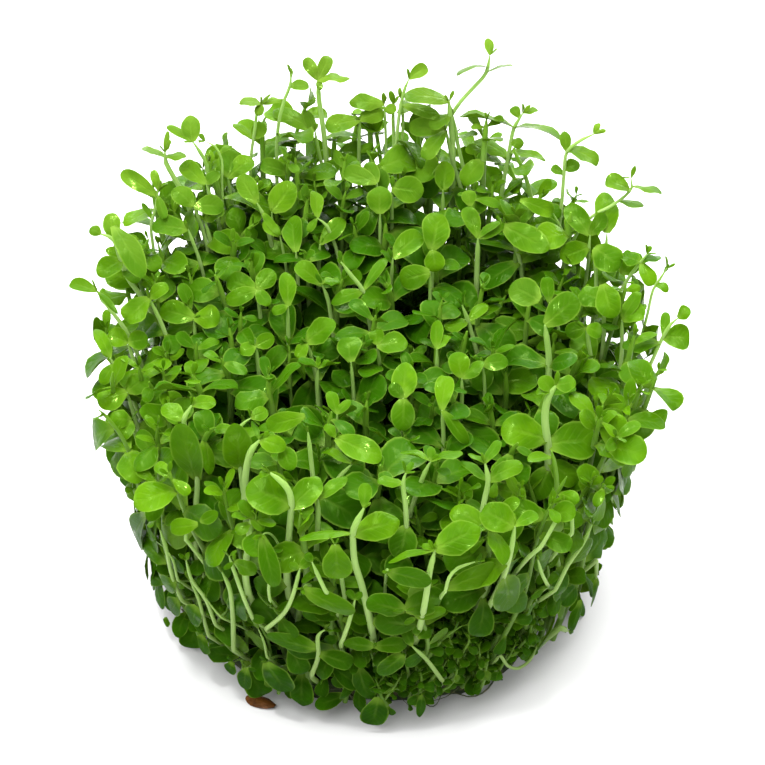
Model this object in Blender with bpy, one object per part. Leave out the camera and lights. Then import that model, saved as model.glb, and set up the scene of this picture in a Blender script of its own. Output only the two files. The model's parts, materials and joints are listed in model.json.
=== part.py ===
"""A clump of Monte Carlo, a creeping water plant with small round leaves in pairs.

It was grown in a cup and lifted out, so it stands on a flat mat of roots and keeps the cup's
shape: straight stems side by side, leaves pressed flat at the wall, and free tips over the rim.
Every shoot is one solid, a square stem with its pairs of leaves drawn out of its sides. The
front of the clump is towards -Y, and the back stands taller than the front.
"""

import math
import random
from dataclasses import dataclass

import bmesh
import bpy
from mathutils import Vector
from mathutils.bvhtree import BVHTree

MM = 0.001
SEED = 11
MERGE = 0.00001

# The cup that shaped the clump: its wall flares up to this height and stands straight above
FOOT_RADIUS = 26 * MM
WALL_RADIUS = 31 * MM
FLARE_HEIGHT = 27 * MM

# The mat of roots under the shoots
MAT_RADIUS = 22.9 * MM
MAT_THICKNESS = 3.2 * MM
MAT_BEVEL = 1 * MM
MAT_CORNERS = 32
MAT_WAVE = 0.6 * MM
MAT_WAVES = 5
SHOOT_GAP = 0.3 * MM

# Shoots inside the clump: (name, how many, radius at the foot, pairs of leaves)
INSIDE_RINGS = (
    ("centre_shoot", 1, 0.0 * MM, 3),
    ("inner_shoot", 6, 5.6 * MM, 3),
    ("middle_shoot", 11, 11.0 * MM, 3),
    ("outer_shoot", 17, 16.3 * MM, 4),
)
SPREAD = 1.25
CROWN_JITTER = 0.9 * MM
CROWN_RADIUS = 30.5 * MM
CROWN_HEIGHT = 38.5 * MM
CROWN_SLOPE = 6.5 * MM
CROWN_HOLLOW = 2.5 * MM
CROWN_ROUGHNESS = 2.5 * MM

# Shoots along the cup's wall, anticlockwise from +X: (bearing of the tip in degrees, its
# distance from the axis in mm, its height in mm)
RIM_FOOT_RADIUS = 21.6 * MM
RIM_TIPS = (
    (-6, 36.6, 41.0),
    (12, 34.5, 43.0),
    (27, 33.0, 46.0),
    (41, 31.5, 48.0),
    (57, 30.0, 50.0),
    (66, 29.0, 58.0),
    (86, 29.5, 52.0),
    (104, 29.5, 53.0),
    (121, 30.0, 49.5),
    (137, 31.0, 47.5),
    (153, 32.0, 46.5),
    (168, 34.0, 44.0),
    (185, 36.6, 41.0),
    (205, 33.0, 38.5),
    (226, 31.5, 36.5),
    (245, 30.5, 35.0),
    (262, 30.5, 34.0),
    (279, 30.5, 34.0),
    (296, 30.5, 34.5),
    (312, 31.0, 36.0),
    (330, 31.5, 38.0),
    (345, 33.5, 39.5),
)
WALL_INSET = 2.4 * MM

# One shoot
STEM_WIDTH = 1.1 * MM
STEM_TAPER = 0.72
RIM_PAIRS = 5
FIRST_PAIR = 0.28
FIRST_RIM_PAIR = 0.05
LAST_PAIR = 0.985
PAIR_CROWDING = 0.85
NODE_HEIGHT = 0.9 * MM

# Leaves from the tip of a shoot down: length, and rise in degrees from the stem's cross-section
LEAF_LENGTHS = (3.4 * MM, 4.9 * MM, 5.2 * MM, 4.9 * MM, 4.8 * MM)
LEAF_RISES = (58, 32, 22, 14, 10)
LOW_LEAF_DROOP = -42
LEAF_WIDTH = 0.8
LEAF_WIDEST = 0.6
LEAF_TIP_WIDTH = 0.5
LEAF_THICKNESS = 0.55 * MM
LEAF_SAG = 0.1
LOWEST_LEAF = 0.6 * MM
STAND_OFF = 0.08 * MM

# How a leaf makes room for its neighbours: turns and rises in degrees, and shares of its length
CLEARANCE = 0.33 * MM
TURNS = (0, 14, -14, 28, -28)
TILTS = (0, 12, -12, 24, 36)
TRIMS = (1.0, 0.84, 0.68, 0.54)

# A withered leaf that lies against the foot of the clump
WITHERED_BEARING = -121
WITHERED_RADIUS = 24.8 * MM
WITHERED_LENGTH = 4.6 * MM
WITHERED_WIDTH = 2.9 * MM
WITHERED_THICKNESS = 0.7 * MM

LEAF_GREEN = (0.22, 0.46, 0.05)
ROOT_TAN = (0.36, 0.30, 0.17)
WITHERED_BROWN = (0.26, 0.10, 0.03)


def bearing_vector(degrees, radius=1.0, height=0.0):
    """The point at this bearing from +X, radius and height."""
    angle = math.radians(degrees)
    return Vector((radius * math.cos(angle), radius * math.sin(angle), height))


def wall_radius(height):
    """The inside of the cup at this height. It stays at the rim's radius above the rim."""
    share = min(max(height / FLARE_HEIGHT, 0.0), 1.0)
    return FOOT_RADIUS + (WALL_RADIUS - FOOT_RADIUS) * share


@dataclass
class Shoot:
    """Where one shoot stands, how it bends and how its leaves are turned."""

    name: str
    foot: Vector
    tip: Vector
    bend: Vector
    turn: float
    pairs: int
    first_pair: float
    droop: bool

    def point(self, share):
        """A point of the stem's centre line, from 0 at the foot to 1 at the tip."""
        rest = 1 - share
        return self.foot * rest**2 + self.bend * (2 * rest * share) + self.tip * share**2

    def tangent(self, share):
        """The direction of the stem there."""
        rest = 1 - share
        return ((self.bend - self.foot) * rest + (self.tip - self.bend) * share).normalized()

    def cross_rise(self, share, bearing):
        """How far the stem's cross-section rises towards this bearing, in degrees."""
        tangent = self.tangent(share)
        return math.degrees(math.atan2(-tangent.dot(bearing_vector(bearing)), tangent.z))

    def side_normal(self, share, side):
        """The direction that this side of the stem faces there."""
        tangent = self.tangent(share)
        out = bearing_vector(self.turn + 90 * side)
        return (out - tangent * out.dot(tangent)).normalized()

    def half_width(self, share):
        """Half the stem's width there."""
        return STEM_WIDTH / 2 * (1 - (1 - STEM_TAPER) * share)

    def ring(self, share):
        """The four corners of the stem's square section there."""
        tangent = self.tangent(share)
        across = bearing_vector(self.turn)
        across = (across - tangent * across.dot(tangent)).normalized()
        beside = tangent.cross(across)
        half = self.half_width(share)
        centre = self.point(share)
        signs = ((1, -1), (1, 1), (-1, 1), (-1, -1))
        return [centre + across * (a * half) + beside * (b * half) for a, b in signs]

    def pair_share(self, pair):
        """How far up the stem this pair of leaves grows. Pairs crowd together near the tip."""
        step = (pair / (self.pairs - 1)) ** PAIR_CROWDING
        return self.first_pair + (LAST_PAIR - self.first_pair) * step

    def leaf_rise(self, pair):
        """How far a leaf of this pair rises where nothing is in its way, in degrees."""
        if self.droop and pair == 0:
            return LOW_LEAF_DROOP
        return LEAF_RISES[self.pairs - 1 - pair]


def inside_shoots(dice):
    """The shoots that stand free inside the clump, ring by ring."""
    shoots = []
    for name, count, radius, pairs in INSIDE_RINGS:
        for k in range(count):
            bearing = 360 * k / count + 11 * count
            label = name if count == 1 else f"{name}_{k + 1:02d}"
            foot = bearing_vector(bearing, radius, MAT_THICKNESS + SHOOT_GAP)
            spot = bearing_vector(bearing, radius * SPREAD)
            spot.x += dice.uniform(-1, 1) * CROWN_JITTER
            spot.y += dice.uniform(-1, 1) * CROWN_JITTER
            height = CROWN_HEIGHT + CROWN_SLOPE * spot.y / CROWN_RADIUS
            height -= CROWN_HOLLOW * (1 - spot.length / CROWN_RADIUS)
            height += dice.uniform(-1, 1) * CROWN_ROUGHNESS
            tip = Vector((spot.x, spot.y, height))
            bend = (foot + tip) / 2
            bend.x += dice.uniform(-1, 1) * CROWN_JITTER
            bend.y += dice.uniform(-1, 1) * CROWN_JITTER
            turn = dice.uniform(0, 90)
            shoots.append(Shoot(label, foot, tip, bend, turn, pairs, FIRST_PAIR, False))
    return shoots


def rim_shoots(dice):
    """The shoots that stand along the wall and lean out over the rim."""
    shoots = []
    for k, (bearing, reach, height) in enumerate(RIM_TIPS):
        foot_bearing = 360 * k / len(RIM_TIPS)
        foot = bearing_vector(foot_bearing, RIM_FOOT_RADIUS, MAT_THICKNESS + SHOOT_GAP)
        rise = height * MM - LEAF_LENGTHS[0] * 0.8
        tip = bearing_vector(bearing, (reach - 1.5) * MM, rise)
        middle = rise * 0.58
        bend_bearing = (foot_bearing + (bearing % 360 if k else bearing)) / 2
        bend = bearing_vector(bend_bearing, wall_radius(middle) - WALL_INSET, middle)
        turn = foot_bearing + dice.uniform(-20, 20)
        name = f"rim_shoot_{k + 1:02d}"
        shoots.append(Shoot(name, foot, tip, bend, turn, RIM_PAIRS, FIRST_RIM_PAIR, True))
    return shoots


@dataclass
class Leaf:
    """One leaf blade, from the middle of its foot on the stem out to its tip."""

    foot: Vector
    bearing: float
    rise: float
    length: float

    def sections(self, margin=0.0):
        """(centre, half width, half thickness) of the widest part and of the tip."""
        out = bearing_vector(self.bearing)
        rise = math.radians(self.rise)
        along = out * math.cos(rise) + Vector((0, 0, math.sin(rise)))
        widest = self.foot + along * (self.length * LEAF_WIDEST)
        tip = self.foot + along * (self.length + margin)
        tip.z -= LEAF_SAG * self.length
        half = self.length * LEAF_WIDTH / 2
        return (
            (widest, half + margin, LEAF_THICKNESS / 2 + margin),
            (tip, half * LEAF_TIP_WIDTH + margin, margin),
        )

    def frame(self):
        """The directions across the leaf and up from its upper side."""
        out = bearing_vector(self.bearing)
        rise = math.radians(self.rise)
        across = Vector((-out.y, out.x, 0))
        return across, Vector((0, 0, math.cos(rise))) - out * math.sin(rise)

    def stands_off(self, normal):
        """Whether the blade lies outside the side of the stem that it grows from."""
        across, up = self.frame()
        for centre, half, thick in self.sections():
            reach = abs(across.dot(normal)) * half + abs(up.dot(normal)) * thick
            if (centre - self.foot).dot(normal) - reach < STAND_OFF:
                return False
        return True

    def tester(self, margin):
        """A search tree of the blade, grown by the margin, to see what it would touch."""
        across, up = self.frame()
        points = []
        start = (self.foot + (self.sections()[0][0] - self.foot) * 0.3, 0.6 * MM + margin)
        rings = [(start[0], start[1], LEAF_THICKNESS / 2 + margin), *self.sections(margin)]
        for centre, half, thick in rings:
            for a, b in ((1, -1), (1, 1), (-1, 1), (-1, -1)):
                points.append(centre + across * (a * half) + up * (b * max(thick, MERGE)))
        faces = [(0, 1, 2, 3), (8, 9, 10, 11)]
        for ring in (0, 4):
            faces += [
                (ring + i, ring + (i + 1) % 4, ring + 4 + (i + 1) % 4, ring + 4 + i)
                for i in range(4)
            ]
        return points, BVHTree.FromPolygons(points, faces)


def steepest_needed(foot, bearing, rise, length):
    """The rise in degrees that keeps a leaf inside the cup's wall and off the surface below."""
    for extra in range(0, 75, 5):
        for tilt in (rise + extra, rise - extra):
            if not -60 <= tilt <= 84:
                continue
            run = length * math.cos(math.radians(tilt))
            lift = length * math.sin(math.radians(tilt))
            end = foot + bearing_vector(bearing, run, lift)
            low = end.z - LEAF_SAG * length
            out = math.hypot(end.x, end.y)
            if out <= wall_radius(end.z) and low >= LOWEST_LEAF:
                return tilt
    return 84


def extrude_to(bm, face, place):
    """Draws one face out, and puts each new corner where place says."""
    new = bmesh.ops.extrude_discrete_faces(bm, faces=[face])["faces"][0]
    for vert in new.verts:
        vert.co = place(vert.co)
    return new


class ShootMesh:
    """The mesh of one shoot while it grows: first its stem, then its leaves."""

    def __init__(self, shoot):
        self.shoot = shoot
        self.mesh = bmesh.new()
        self.sockets = {}
        self.grow_stem()

    def grow_stem(self):
        """Draws the stem up from its foot, with a short length at each pair of leaves."""
        shoot = self.shoot
        length = (shoot.tip - shoot.foot).length
        node = NODE_HEIGHT / length / 2
        corners = [self.mesh.verts.new(p) for p in shoot.ring(0)]
        top = self.mesh.faces.new(corners)
        for pair in range(shoot.pairs):
            share = shoot.pair_share(pair)
            top = self.raise_to(top, share - node)
            ring = list(top.verts)
            top = self.raise_to(top, min(share + node, 1))
            for side in (pair % 2, pair % 2 + 2):
                corners_of_side = {ring[side], ring[(side + 1) % 4], top.verts[side]}
                faces = [f for f in ring[side].link_faces if corners_of_side <= set(f.verts)]
                self.sockets[pair, side] = faces[0]
        self.mesh.faces.new(list(reversed(corners)))

    def raise_to(self, top, share):
        """Draws the stem's top face up to its ring at this share of the length."""
        ring = self.shoot.ring(share)
        new = bmesh.ops.extrude_discrete_faces(self.mesh, faces=[top])["faces"][0]
        for vert, point in zip(new.verts, ring):
            vert.co = point
        return new

    def stem_tree(self):
        """A search tree of the bare stem."""
        self.mesh.faces.ensure_lookup_table()
        return BVHTree.FromBMesh(self.mesh)

    def add_leaf(self, socket, leaf):
        """Draws a leaf out of one side of the stem."""
        face = self.sockets[socket]
        across, up = leaf.frame()
        middle = face.calc_center_median()
        for centre, half, thick in leaf.sections():

            def place(corner, centre=centre, half=half, thick=thick, middle=middle):
                side = math.copysign(half, (corner - middle).dot(across))
                lift = math.copysign(thick, (corner - middle).z)
                return centre + across * side + up * lift

            face = extrude_to(self.mesh, face, place)
            middle = centre

    def finish(self, collection, material):
        """Closes the leaf tips and makes the object."""
        bmesh.ops.remove_doubles(self.mesh, verts=self.mesh.verts, dist=MERGE)
        bmesh.ops.recalc_face_normals(self.mesh, faces=self.mesh.faces)
        data = bpy.data.meshes.new(self.shoot.name)
        self.mesh.to_mesh(data)
        self.mesh.free()
        return add_object(self.shoot.name, data, collection, material)


def add_object(name, data, collection, material):
    """Puts a mesh in the scene under this name, with its material."""
    data.materials.append(material)
    obj = bpy.data.objects.new(name, data)
    collection.objects.link(obj)
    return obj


def leaf_direction(shoot, side):
    """The bearing that this side of the stem faces."""
    return shoot.turn + 90 * side


def place_leaf(shoot, socket, centre, others, dice):
    """The first leaf shape for this socket that stays clear of all others, or None."""
    pair, side = socket
    share = shoot.pair_share(pair)
    normal = shoot.side_normal(share, side)
    bearing = leaf_direction(shoot, side) + dice.uniform(-8, 8)
    wish = shoot.leaf_rise(pair) + dice.uniform(-8, 8)
    full = LEAF_LENGTHS[shoot.pairs - 1 - pair] * dice.uniform(0.88, 1.08)
    for trim in TRIMS:
        for tilt in TILTS:
            for turn in TURNS:
                length = full * trim
                heading = bearing + turn
                level = wish + tilt + shoot.cross_rise(share, heading)
                rise = steepest_needed(centre, heading, level, length)
                leaf = Leaf(centre, heading, rise, length)
                if not leaf.stands_off(normal):
                    continue
                points, tree = leaf.tester(CLEARANCE)
                if not touches(points, tree, others):
                    return leaf
    return None


def touches(points, tree, others):
    """Whether a grown leaf meets any solid whose box is near it."""
    low = Vector(map(min, zip(*points)))
    high = Vector(map(max, zip(*points)))
    for other_low, other_high, other in others:
        apart = any(low[i] > other_high[i] or other_low[i] > high[i] for i in range(3))
        if not apart and tree.overlap(other):
            return True
    return False


def boxed(points, tree):
    """A search tree with its lowest and highest corner."""
    return Vector(map(min, zip(*points))), Vector(map(max, zip(*points))), tree


def grow_leaves(meshes, mat, dice):
    """Gives every shoot its leaves, from the tips down, each clear of all that stand already."""
    stems = [boxed([v.co for v in m.mesh.verts], m.stem_tree()) for m in meshes]
    mat_points = [v.co for v in mat.data.vertices]
    mat_faces = [tuple(p.vertices) for p in mat.data.polygons]
    placed = [boxed(mat_points, BVHTree.FromPolygons(mat_points, mat_faces))]
    for from_tip in range(RIM_PAIRS):
        for index, grower in enumerate(meshes):
            pair = grower.shoot.pairs - 1 - from_tip
            for socket in [s for s in grower.sockets if s[0] == pair]:
                centre = grower.sockets[socket].calc_center_median()
                others = stems[:index] + stems[index + 1:] + placed
                leaf = place_leaf(grower.shoot, socket, centre, others, dice)
                if leaf:
                    points, tree = leaf.tester(0)
                    placed.append(boxed(points, tree))
                    grower.add_leaf(socket, leaf)


def root_mat(collection, material):
    """The flat mat of roots, a disc with a wavy, softened edge."""
    bm = bmesh.new()
    rim = []
    for k in range(MAT_CORNERS):
        bearing = 360 * k / MAT_CORNERS
        wave = math.sin(math.radians(bearing * MAT_WAVES)) * MAT_WAVE
        rim.append(bm.verts.new(bearing_vector(bearing, MAT_RADIUS - MAT_WAVE + wave)))
    base = bm.faces.new(rim)
    top = bmesh.ops.extrude_face_region(bm, geom=[base], use_keep_orig=True)
    raised = [v for v in top["geom"] if isinstance(v, bmesh.types.BMVert)]
    bmesh.ops.translate(bm, verts=raised, vec=(0, 0, MAT_THICKNESS))
    level = [e for e in bm.edges if abs(e.verts[0].co.z - e.verts[1].co.z) < MERGE]
    bmesh.ops.bevel(bm, geom=level, offset=MAT_BEVEL, segments=2, affect="EDGES", profile=0.5)
    bmesh.ops.recalc_face_normals(bm, faces=bm.faces)
    data = bpy.data.meshes.new("root_mat")
    bm.to_mesh(data)
    bm.free()
    return add_object("root_mat", data, collection, material)


def withered_leaf(collection, material):
    """A brown leaf on the surface in front of the mat, pointed at both ends."""
    bm = bmesh.new()
    bmesh.ops.create_icosphere(bm, subdivisions=2, radius=0.5)
    out = bearing_vector(WITHERED_BEARING)
    across = Vector((-out.y, out.x, 0))
    centre = bearing_vector(WITHERED_BEARING, WITHERED_RADIUS, WITHERED_THICKNESS / 2)
    for vert in bm.verts:
        x, y, z = vert.co
        narrow = 1 - 0.6 * (2 * abs(x)) ** 2
        vert.co = (
            centre
            - across * (x * WITHERED_LENGTH)
            + out * (y * WITHERED_WIDTH * narrow)
            + Vector((0, 0, z * WITHERED_THICKNESS))
        )
    data = bpy.data.meshes.new("withered_leaf")
    bm.to_mesh(data)
    bm.free()
    return add_object("withered_leaf", data, collection, material)


def principled(name, colour, roughness):
    """A plain Principled material."""
    material = bpy.data.materials.new(name)
    material.use_nodes = True
    shader = material.node_tree.nodes["Principled BSDF"]
    shader.inputs["Base Color"].default_value = (*colour, 1)
    shader.inputs["Roughness"].default_value = roughness
    shader.inputs["Metallic"].default_value = 0
    return material


def centre_on_origin(objects):
    """Shifts every solid so that the whole clump's box stands centred on the origin."""
    points = [v.co for obj in objects for v in obj.data.vertices]
    low = Vector(map(min, zip(*points)))
    high = Vector(map(max, zip(*points)))
    shift = Vector((-(low.x + high.x) / 2, -(low.y + high.y) / 2, -low.z))
    for obj in objects:
        for vert in obj.data.vertices:
            vert.co += shift


def main():
    """Builds the clump: the mat, the withered leaf and every shoot."""
    for obj in list(bpy.data.objects):
        bpy.data.objects.remove(obj)
    collection = bpy.context.scene.collection
    green = principled("sprig_green", LEAF_GREEN, 0.42)
    tan = principled("root_tan", ROOT_TAN, 0.75)
    brown = principled("withered_brown", WITHERED_BROWN, 0.6)

    dice = random.Random(SEED)
    meshes = [ShootMesh(shoot) for shoot in inside_shoots(dice) + rim_shoots(dice)]
    mat = root_mat(collection, tan)
    grow_leaves(meshes, mat, dice)
    objects = [mat, withered_leaf(collection, brown)]
    objects += [grower.finish(collection, green) for grower in meshes]
    centre_on_origin(objects)


main()
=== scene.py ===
"""The looks of a clump of Monte Carlo, a creeping water plant lifted out of the cup it grew in.

The clump stands on a flat mat of roots. Its shoots stand side by side, each with small round
leaves in crossed pairs, and the leaves along the outside still lie flat where the cup's wall
was. Every solid shoot of the frame is replaced by a sprig: that shoot and the thinner ones
around it. The front is towards -Y, and the back stands taller than the front.
"""

import json
import logging
from collections import defaultdict
from collections.abc import Callable
from dataclasses import dataclass, field, replace
from enum import Enum
from functools import partial, reduce
from math import atan2, copysign, cos, degrees, exp, floor, hypot, pi, radians, sin, sqrt
from random import Random

import bpy
from bpy.types import ID, Material, Mesh, Node, NodeSocket, Object
from mathutils import Matrix, Vector
from mathutils.bvhtree import BVHTree

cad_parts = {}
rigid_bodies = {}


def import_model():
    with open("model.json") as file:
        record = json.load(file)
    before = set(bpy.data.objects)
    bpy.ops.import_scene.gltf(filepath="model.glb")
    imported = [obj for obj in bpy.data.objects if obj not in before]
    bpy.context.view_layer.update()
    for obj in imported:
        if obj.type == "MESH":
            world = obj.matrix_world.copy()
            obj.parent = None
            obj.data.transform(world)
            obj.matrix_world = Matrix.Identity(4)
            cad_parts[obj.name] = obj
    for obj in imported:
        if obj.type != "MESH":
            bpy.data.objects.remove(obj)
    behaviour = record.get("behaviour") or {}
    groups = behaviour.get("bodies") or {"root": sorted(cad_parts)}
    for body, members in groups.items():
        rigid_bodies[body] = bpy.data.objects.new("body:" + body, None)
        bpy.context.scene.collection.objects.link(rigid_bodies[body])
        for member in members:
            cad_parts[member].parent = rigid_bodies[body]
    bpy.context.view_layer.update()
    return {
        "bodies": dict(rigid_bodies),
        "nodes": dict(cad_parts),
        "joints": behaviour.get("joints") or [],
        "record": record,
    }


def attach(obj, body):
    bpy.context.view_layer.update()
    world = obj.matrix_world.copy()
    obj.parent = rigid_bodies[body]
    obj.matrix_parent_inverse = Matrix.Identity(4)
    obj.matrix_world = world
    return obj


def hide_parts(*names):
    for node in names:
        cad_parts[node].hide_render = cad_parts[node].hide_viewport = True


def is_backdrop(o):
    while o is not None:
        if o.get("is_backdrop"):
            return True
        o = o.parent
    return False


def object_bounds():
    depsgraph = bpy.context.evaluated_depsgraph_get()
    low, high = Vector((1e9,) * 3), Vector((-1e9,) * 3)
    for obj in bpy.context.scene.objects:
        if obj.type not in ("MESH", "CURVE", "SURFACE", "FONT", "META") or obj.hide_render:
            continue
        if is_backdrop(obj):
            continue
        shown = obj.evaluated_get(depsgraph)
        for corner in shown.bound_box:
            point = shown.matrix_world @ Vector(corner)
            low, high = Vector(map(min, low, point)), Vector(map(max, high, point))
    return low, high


log = logging.getLogger("clump")

Pixel = tuple[float, float]
MM = 0.001
SEED = 11
UP = Vector((0, 0, 1))
LIGHT = Vector((0, -0.5, 0.87))
AROUND = (-1, 0, 1)
GROWN = 20 * MM
STEM_STEP = 1.3 * MM
NOD_START = 0.72
YOUNG_THICKNESS = 0.18 * MM
GROWN_THICKNESS = 0.24 * MM
PETIOLE = 0.06
PETIOLE_WIDTH = 0.25


def polar(bearing: float, radius: float = 1.0, height: float = 0.0) -> Vector:
    """The point at this bearing in degrees from +X, radius and height."""
    angle = radians(bearing)
    return Vector((radius * cos(angle), radius * sin(angle), height))


def off_axis(point: Vector) -> float:
    """How far a point is from the cup's axis."""
    return hypot(point.x, point.y)


def bearing_of(point: Vector) -> float:
    """The bearing of a point from the cup's axis, in degrees from +X."""
    return degrees(atan2(point.y, point.x))


def square_to(vector: Vector, axis: Vector) -> Vector:
    """The direction of a vector without its part along an axis."""
    return (vector - axis * vector.dot(axis)).normalized()


def turn_to(start: Vector, end: Vector, angle: float) -> Vector:
    """A direction turned from one towards another at right angles to it, in radians."""
    return start * cos(angle) + end * sin(angle)


def jolt(point: Vector, dice: Random, most: float, unit: float) -> None:
    """Shifts a point by chance along x and along y, by this many units at most."""
    point.x += dice.uniform(-most, most) * unit
    point.y += dice.uniform(-most, most) * unit


def smooth(share: float) -> float:
    """Rises smoothly from 0 to 1 as share does."""
    share = min(max(share, 0.0), 1.0)
    return share * share * (3 - 2 * share)


def low_patch(point: Vector) -> float:
    """Finds the patch low on the wall at the front right, where everything is small.

    Args:
        point: A point of the clump.

    Returns:
        1 in the patch, and 0 away from it.
    """
    bearing = bearing_of(point)
    across = smooth((bearing + 100) / 16) * smooth((-36 - bearing) / 12)
    return across * smooth((19 * MM - point.z) / (5 * MM))


def tip_taper(down: float) -> float:
    """The share of its radius that a stem has at this distance below its tip."""
    return 0.35 + 0.65 * smooth(down / (1.6 * MM))


def step(operation: str, swapped: bool = False) -> Callable[["Field", object], "Field"]:
    """Makes an operator between a field and another value.

    Args:
        operation: The step of arithmetic.
        swapped: Whether the other value comes first.

    Returns:
        The operator.
    """

    def operator(self: "Field", other: object) -> "Field":
        """The two values, joined by the step."""
        return self.owner.sum(operation, *((other, self) if swapped else (self, other)))

    return operator


class Field:
    """A value in a node tree that can be written into plain sums."""

    __add__, __radd__ = step("ADD"), step("ADD", True)
    __sub__, __rsub__ = step("SUBTRACT"), step("SUBTRACT", True)
    __mul__, __rmul__ = step("MULTIPLY"), step("MULTIPLY", True)
    __truediv__, __pow__ = step("DIVIDE"), step("POWER")

    def __init__(self, owner: "NodeTree", socket: NodeSocket) -> None:
        """Keeps the socket and the tree that sums with it are added to."""
        self.owner = owner
        self.socket = socket


class NodeTree:
    """A node tree with short ways to add nodes and to write sums, for shapes and for finishes."""

    families = ("GeometryNode", "ShaderNode", "Node")
    mix_inputs = (6, 7)
    mix_output = 2

    def __init__(self, tree: bpy.types.NodeTree) -> None:
        """Keeps the tree that the nodes go into."""
        self.tree = tree

    def add(self, kind: str, *values: object, **named: object) -> Node:
        """Adds a node.

        Args:
            kind: The node's type, without the name of its family.
            values: What feeds its inputs, in their order.
            named: Its own settings, in lower case, and what feeds its inputs by name.

        Returns:
            The new node.
        """
        full = next(f + kind for f in self.families if hasattr(bpy.types, f + kind))
        node = self.tree.nodes.new(full)
        settings = {k: v for k, v in named.items() if k.islower()}
        for name, value in settings.items():
            setattr(node, name, value)
        inputs = {k.replace("_", " "): v for k, v in named.items() if k not in settings}
        for key, value in [*enumerate(values), *inputs.items()]:
            self.feed(node.inputs[key], value)
        return node

    def feed(self, socket: NodeSocket, value: object) -> None:
        """Feeds an input.

        Args:
            socket: The input.
            value: A field, which is linked to it, or a plain value.
        """
        if isinstance(value, Field):
            self.tree.links.new(value.socket, socket)
        else:
            socket.default_value = value

    def take(self, node: Node, output: str | int = 0) -> Field:
        """One output of a node."""
        return Field(self, node.outputs[output])

    def run(self, kind: str, *values: object, **named: object) -> Field:
        """Adds a node and takes its first output."""
        return self.take(self.add(kind, *values, **named))

    def sum(self, operation: str, *values: object) -> Field:
        """Adds one step of arithmetic, on vectors where a value is one.

        Args:
            operation: The step, such as ADD or SINE.
            values: What it works on.

        Returns:
            What comes out.
        """
        vectors = [isinstance(v, Field) and v.socket.type == "VECTOR" for v in values]
        if operation == "MULTIPLY" and any(vectors) and not all(vectors):
            long, scale = values if vectors[0] else values[::-1]
            return self.run("VectorMath", long, Scale=scale, operation="SCALE")
        kind = "VectorMath" if any(vectors) else "Math"
        return self.run(kind, *values, operation=operation)

    def vector(self, x: object, y: object, z: object = 0.0) -> Field:
        """A vector from its three parts."""
        return self.run("CombineXYZ", x, y, z)

    def split(self, value: Field) -> list[Field]:
        """The three parts of a vector."""
        node = self.add("SeparateXYZ", value)
        return [self.take(node, k) for k in range(3)]

    def clamp(self, value: object) -> Field:
        """The value, held between 0 and 1."""
        return self.sum("MINIMUM", self.sum("MAXIMUM", value, 0.0), 1.0)

    def ramp(self, value: object, start: object, end: object) -> Field:
        """Rises smoothly from 0 to 1 as the value goes from start to end."""
        inputs = {"Value": value, "From_Min": start, "From_Max": end}
        return self.run("MapRange", interpolation_type="SMOOTHSTEP", **inputs)

    def uv(self, name: str) -> list[Field]:
        """The two coordinates of a named UV map."""
        return self.split(self.run("UVMap", uv_map=name))[:2]

    def mix(self, share: object, *colours: object) -> Field:
        """Adds a mix of two colours.

        Args:
            share: The share of the second one.
            colours: The two colours.

        Returns:
            The colour between them.
        """
        node = self.add("Mix", share, data_type="RGBA")
        for key, colour in zip(self.mix_inputs, colours):
            self.feed(node.inputs[key], colour)
        return self.take(node, self.mix_output)

    def noise(self, place: Field, scale: float, detail: float = 2.0) -> Field:
        """Smooth noise from 0 to 1."""
        node = self.add("TexNoise", Vector=place, Scale=scale, Detail=detail)
        return self.take(node, "Fac")


def add_object(name: str, data: ID) -> Object:
    """Adds an object to the scene.

    Args:
        name: Its name.
        data: Its mesh, light or camera.

    Returns:
        The object.
    """
    made = bpy.data.objects.new(name, data)
    bpy.context.scene.collection.objects.link(made)
    return made


@dataclass(frozen=True)
class Cup:
    """The cup that the clump grew in, whose shape it keeps, and the crown of the shoots."""

    foot_radius: float = 26 * MM
    rim_radius: float = 31 * MM
    rim_height: float = 27 * MM
    crown_radius: float = 30.5 * MM
    crown_height: float = 38.5 * MM
    crown_slope: float = 6.5 * MM
    crown_hollow: float = 2.5 * MM
    free_depth: float = 10 * MM
    lean: float = 5 * MM

    def wall(self, height: float) -> float:
        """The inside of the wall at this height."""
        share = min(max(height / self.rim_height, 0.0), 1.0)
        return self.foot_radius + (self.rim_radius - self.foot_radius) * share

    def crown(self, x: float, y: float) -> float:
        """The height that the shoots reach there."""
        hollow = self.crown_hollow * (1 - hypot(x, y) / self.crown_radius)
        return self.crown_height + self.crown_slope * y / self.crown_radius - hollow

    def reach(self, point: Vector) -> float:
        """Finds how far out a leaf may be: at the wall, or further near the crown.

        Args:
            point: A point of the leaf.

        Returns:
            The distance from the axis.
        """
        top = self.crown_height + self.crown_slope * point.y / self.crown_radius
        share = smooth((point.z - top + self.free_depth) / self.free_depth)
        return self.wall(point.z) + self.lean * share


CUP = Cup()


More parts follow.
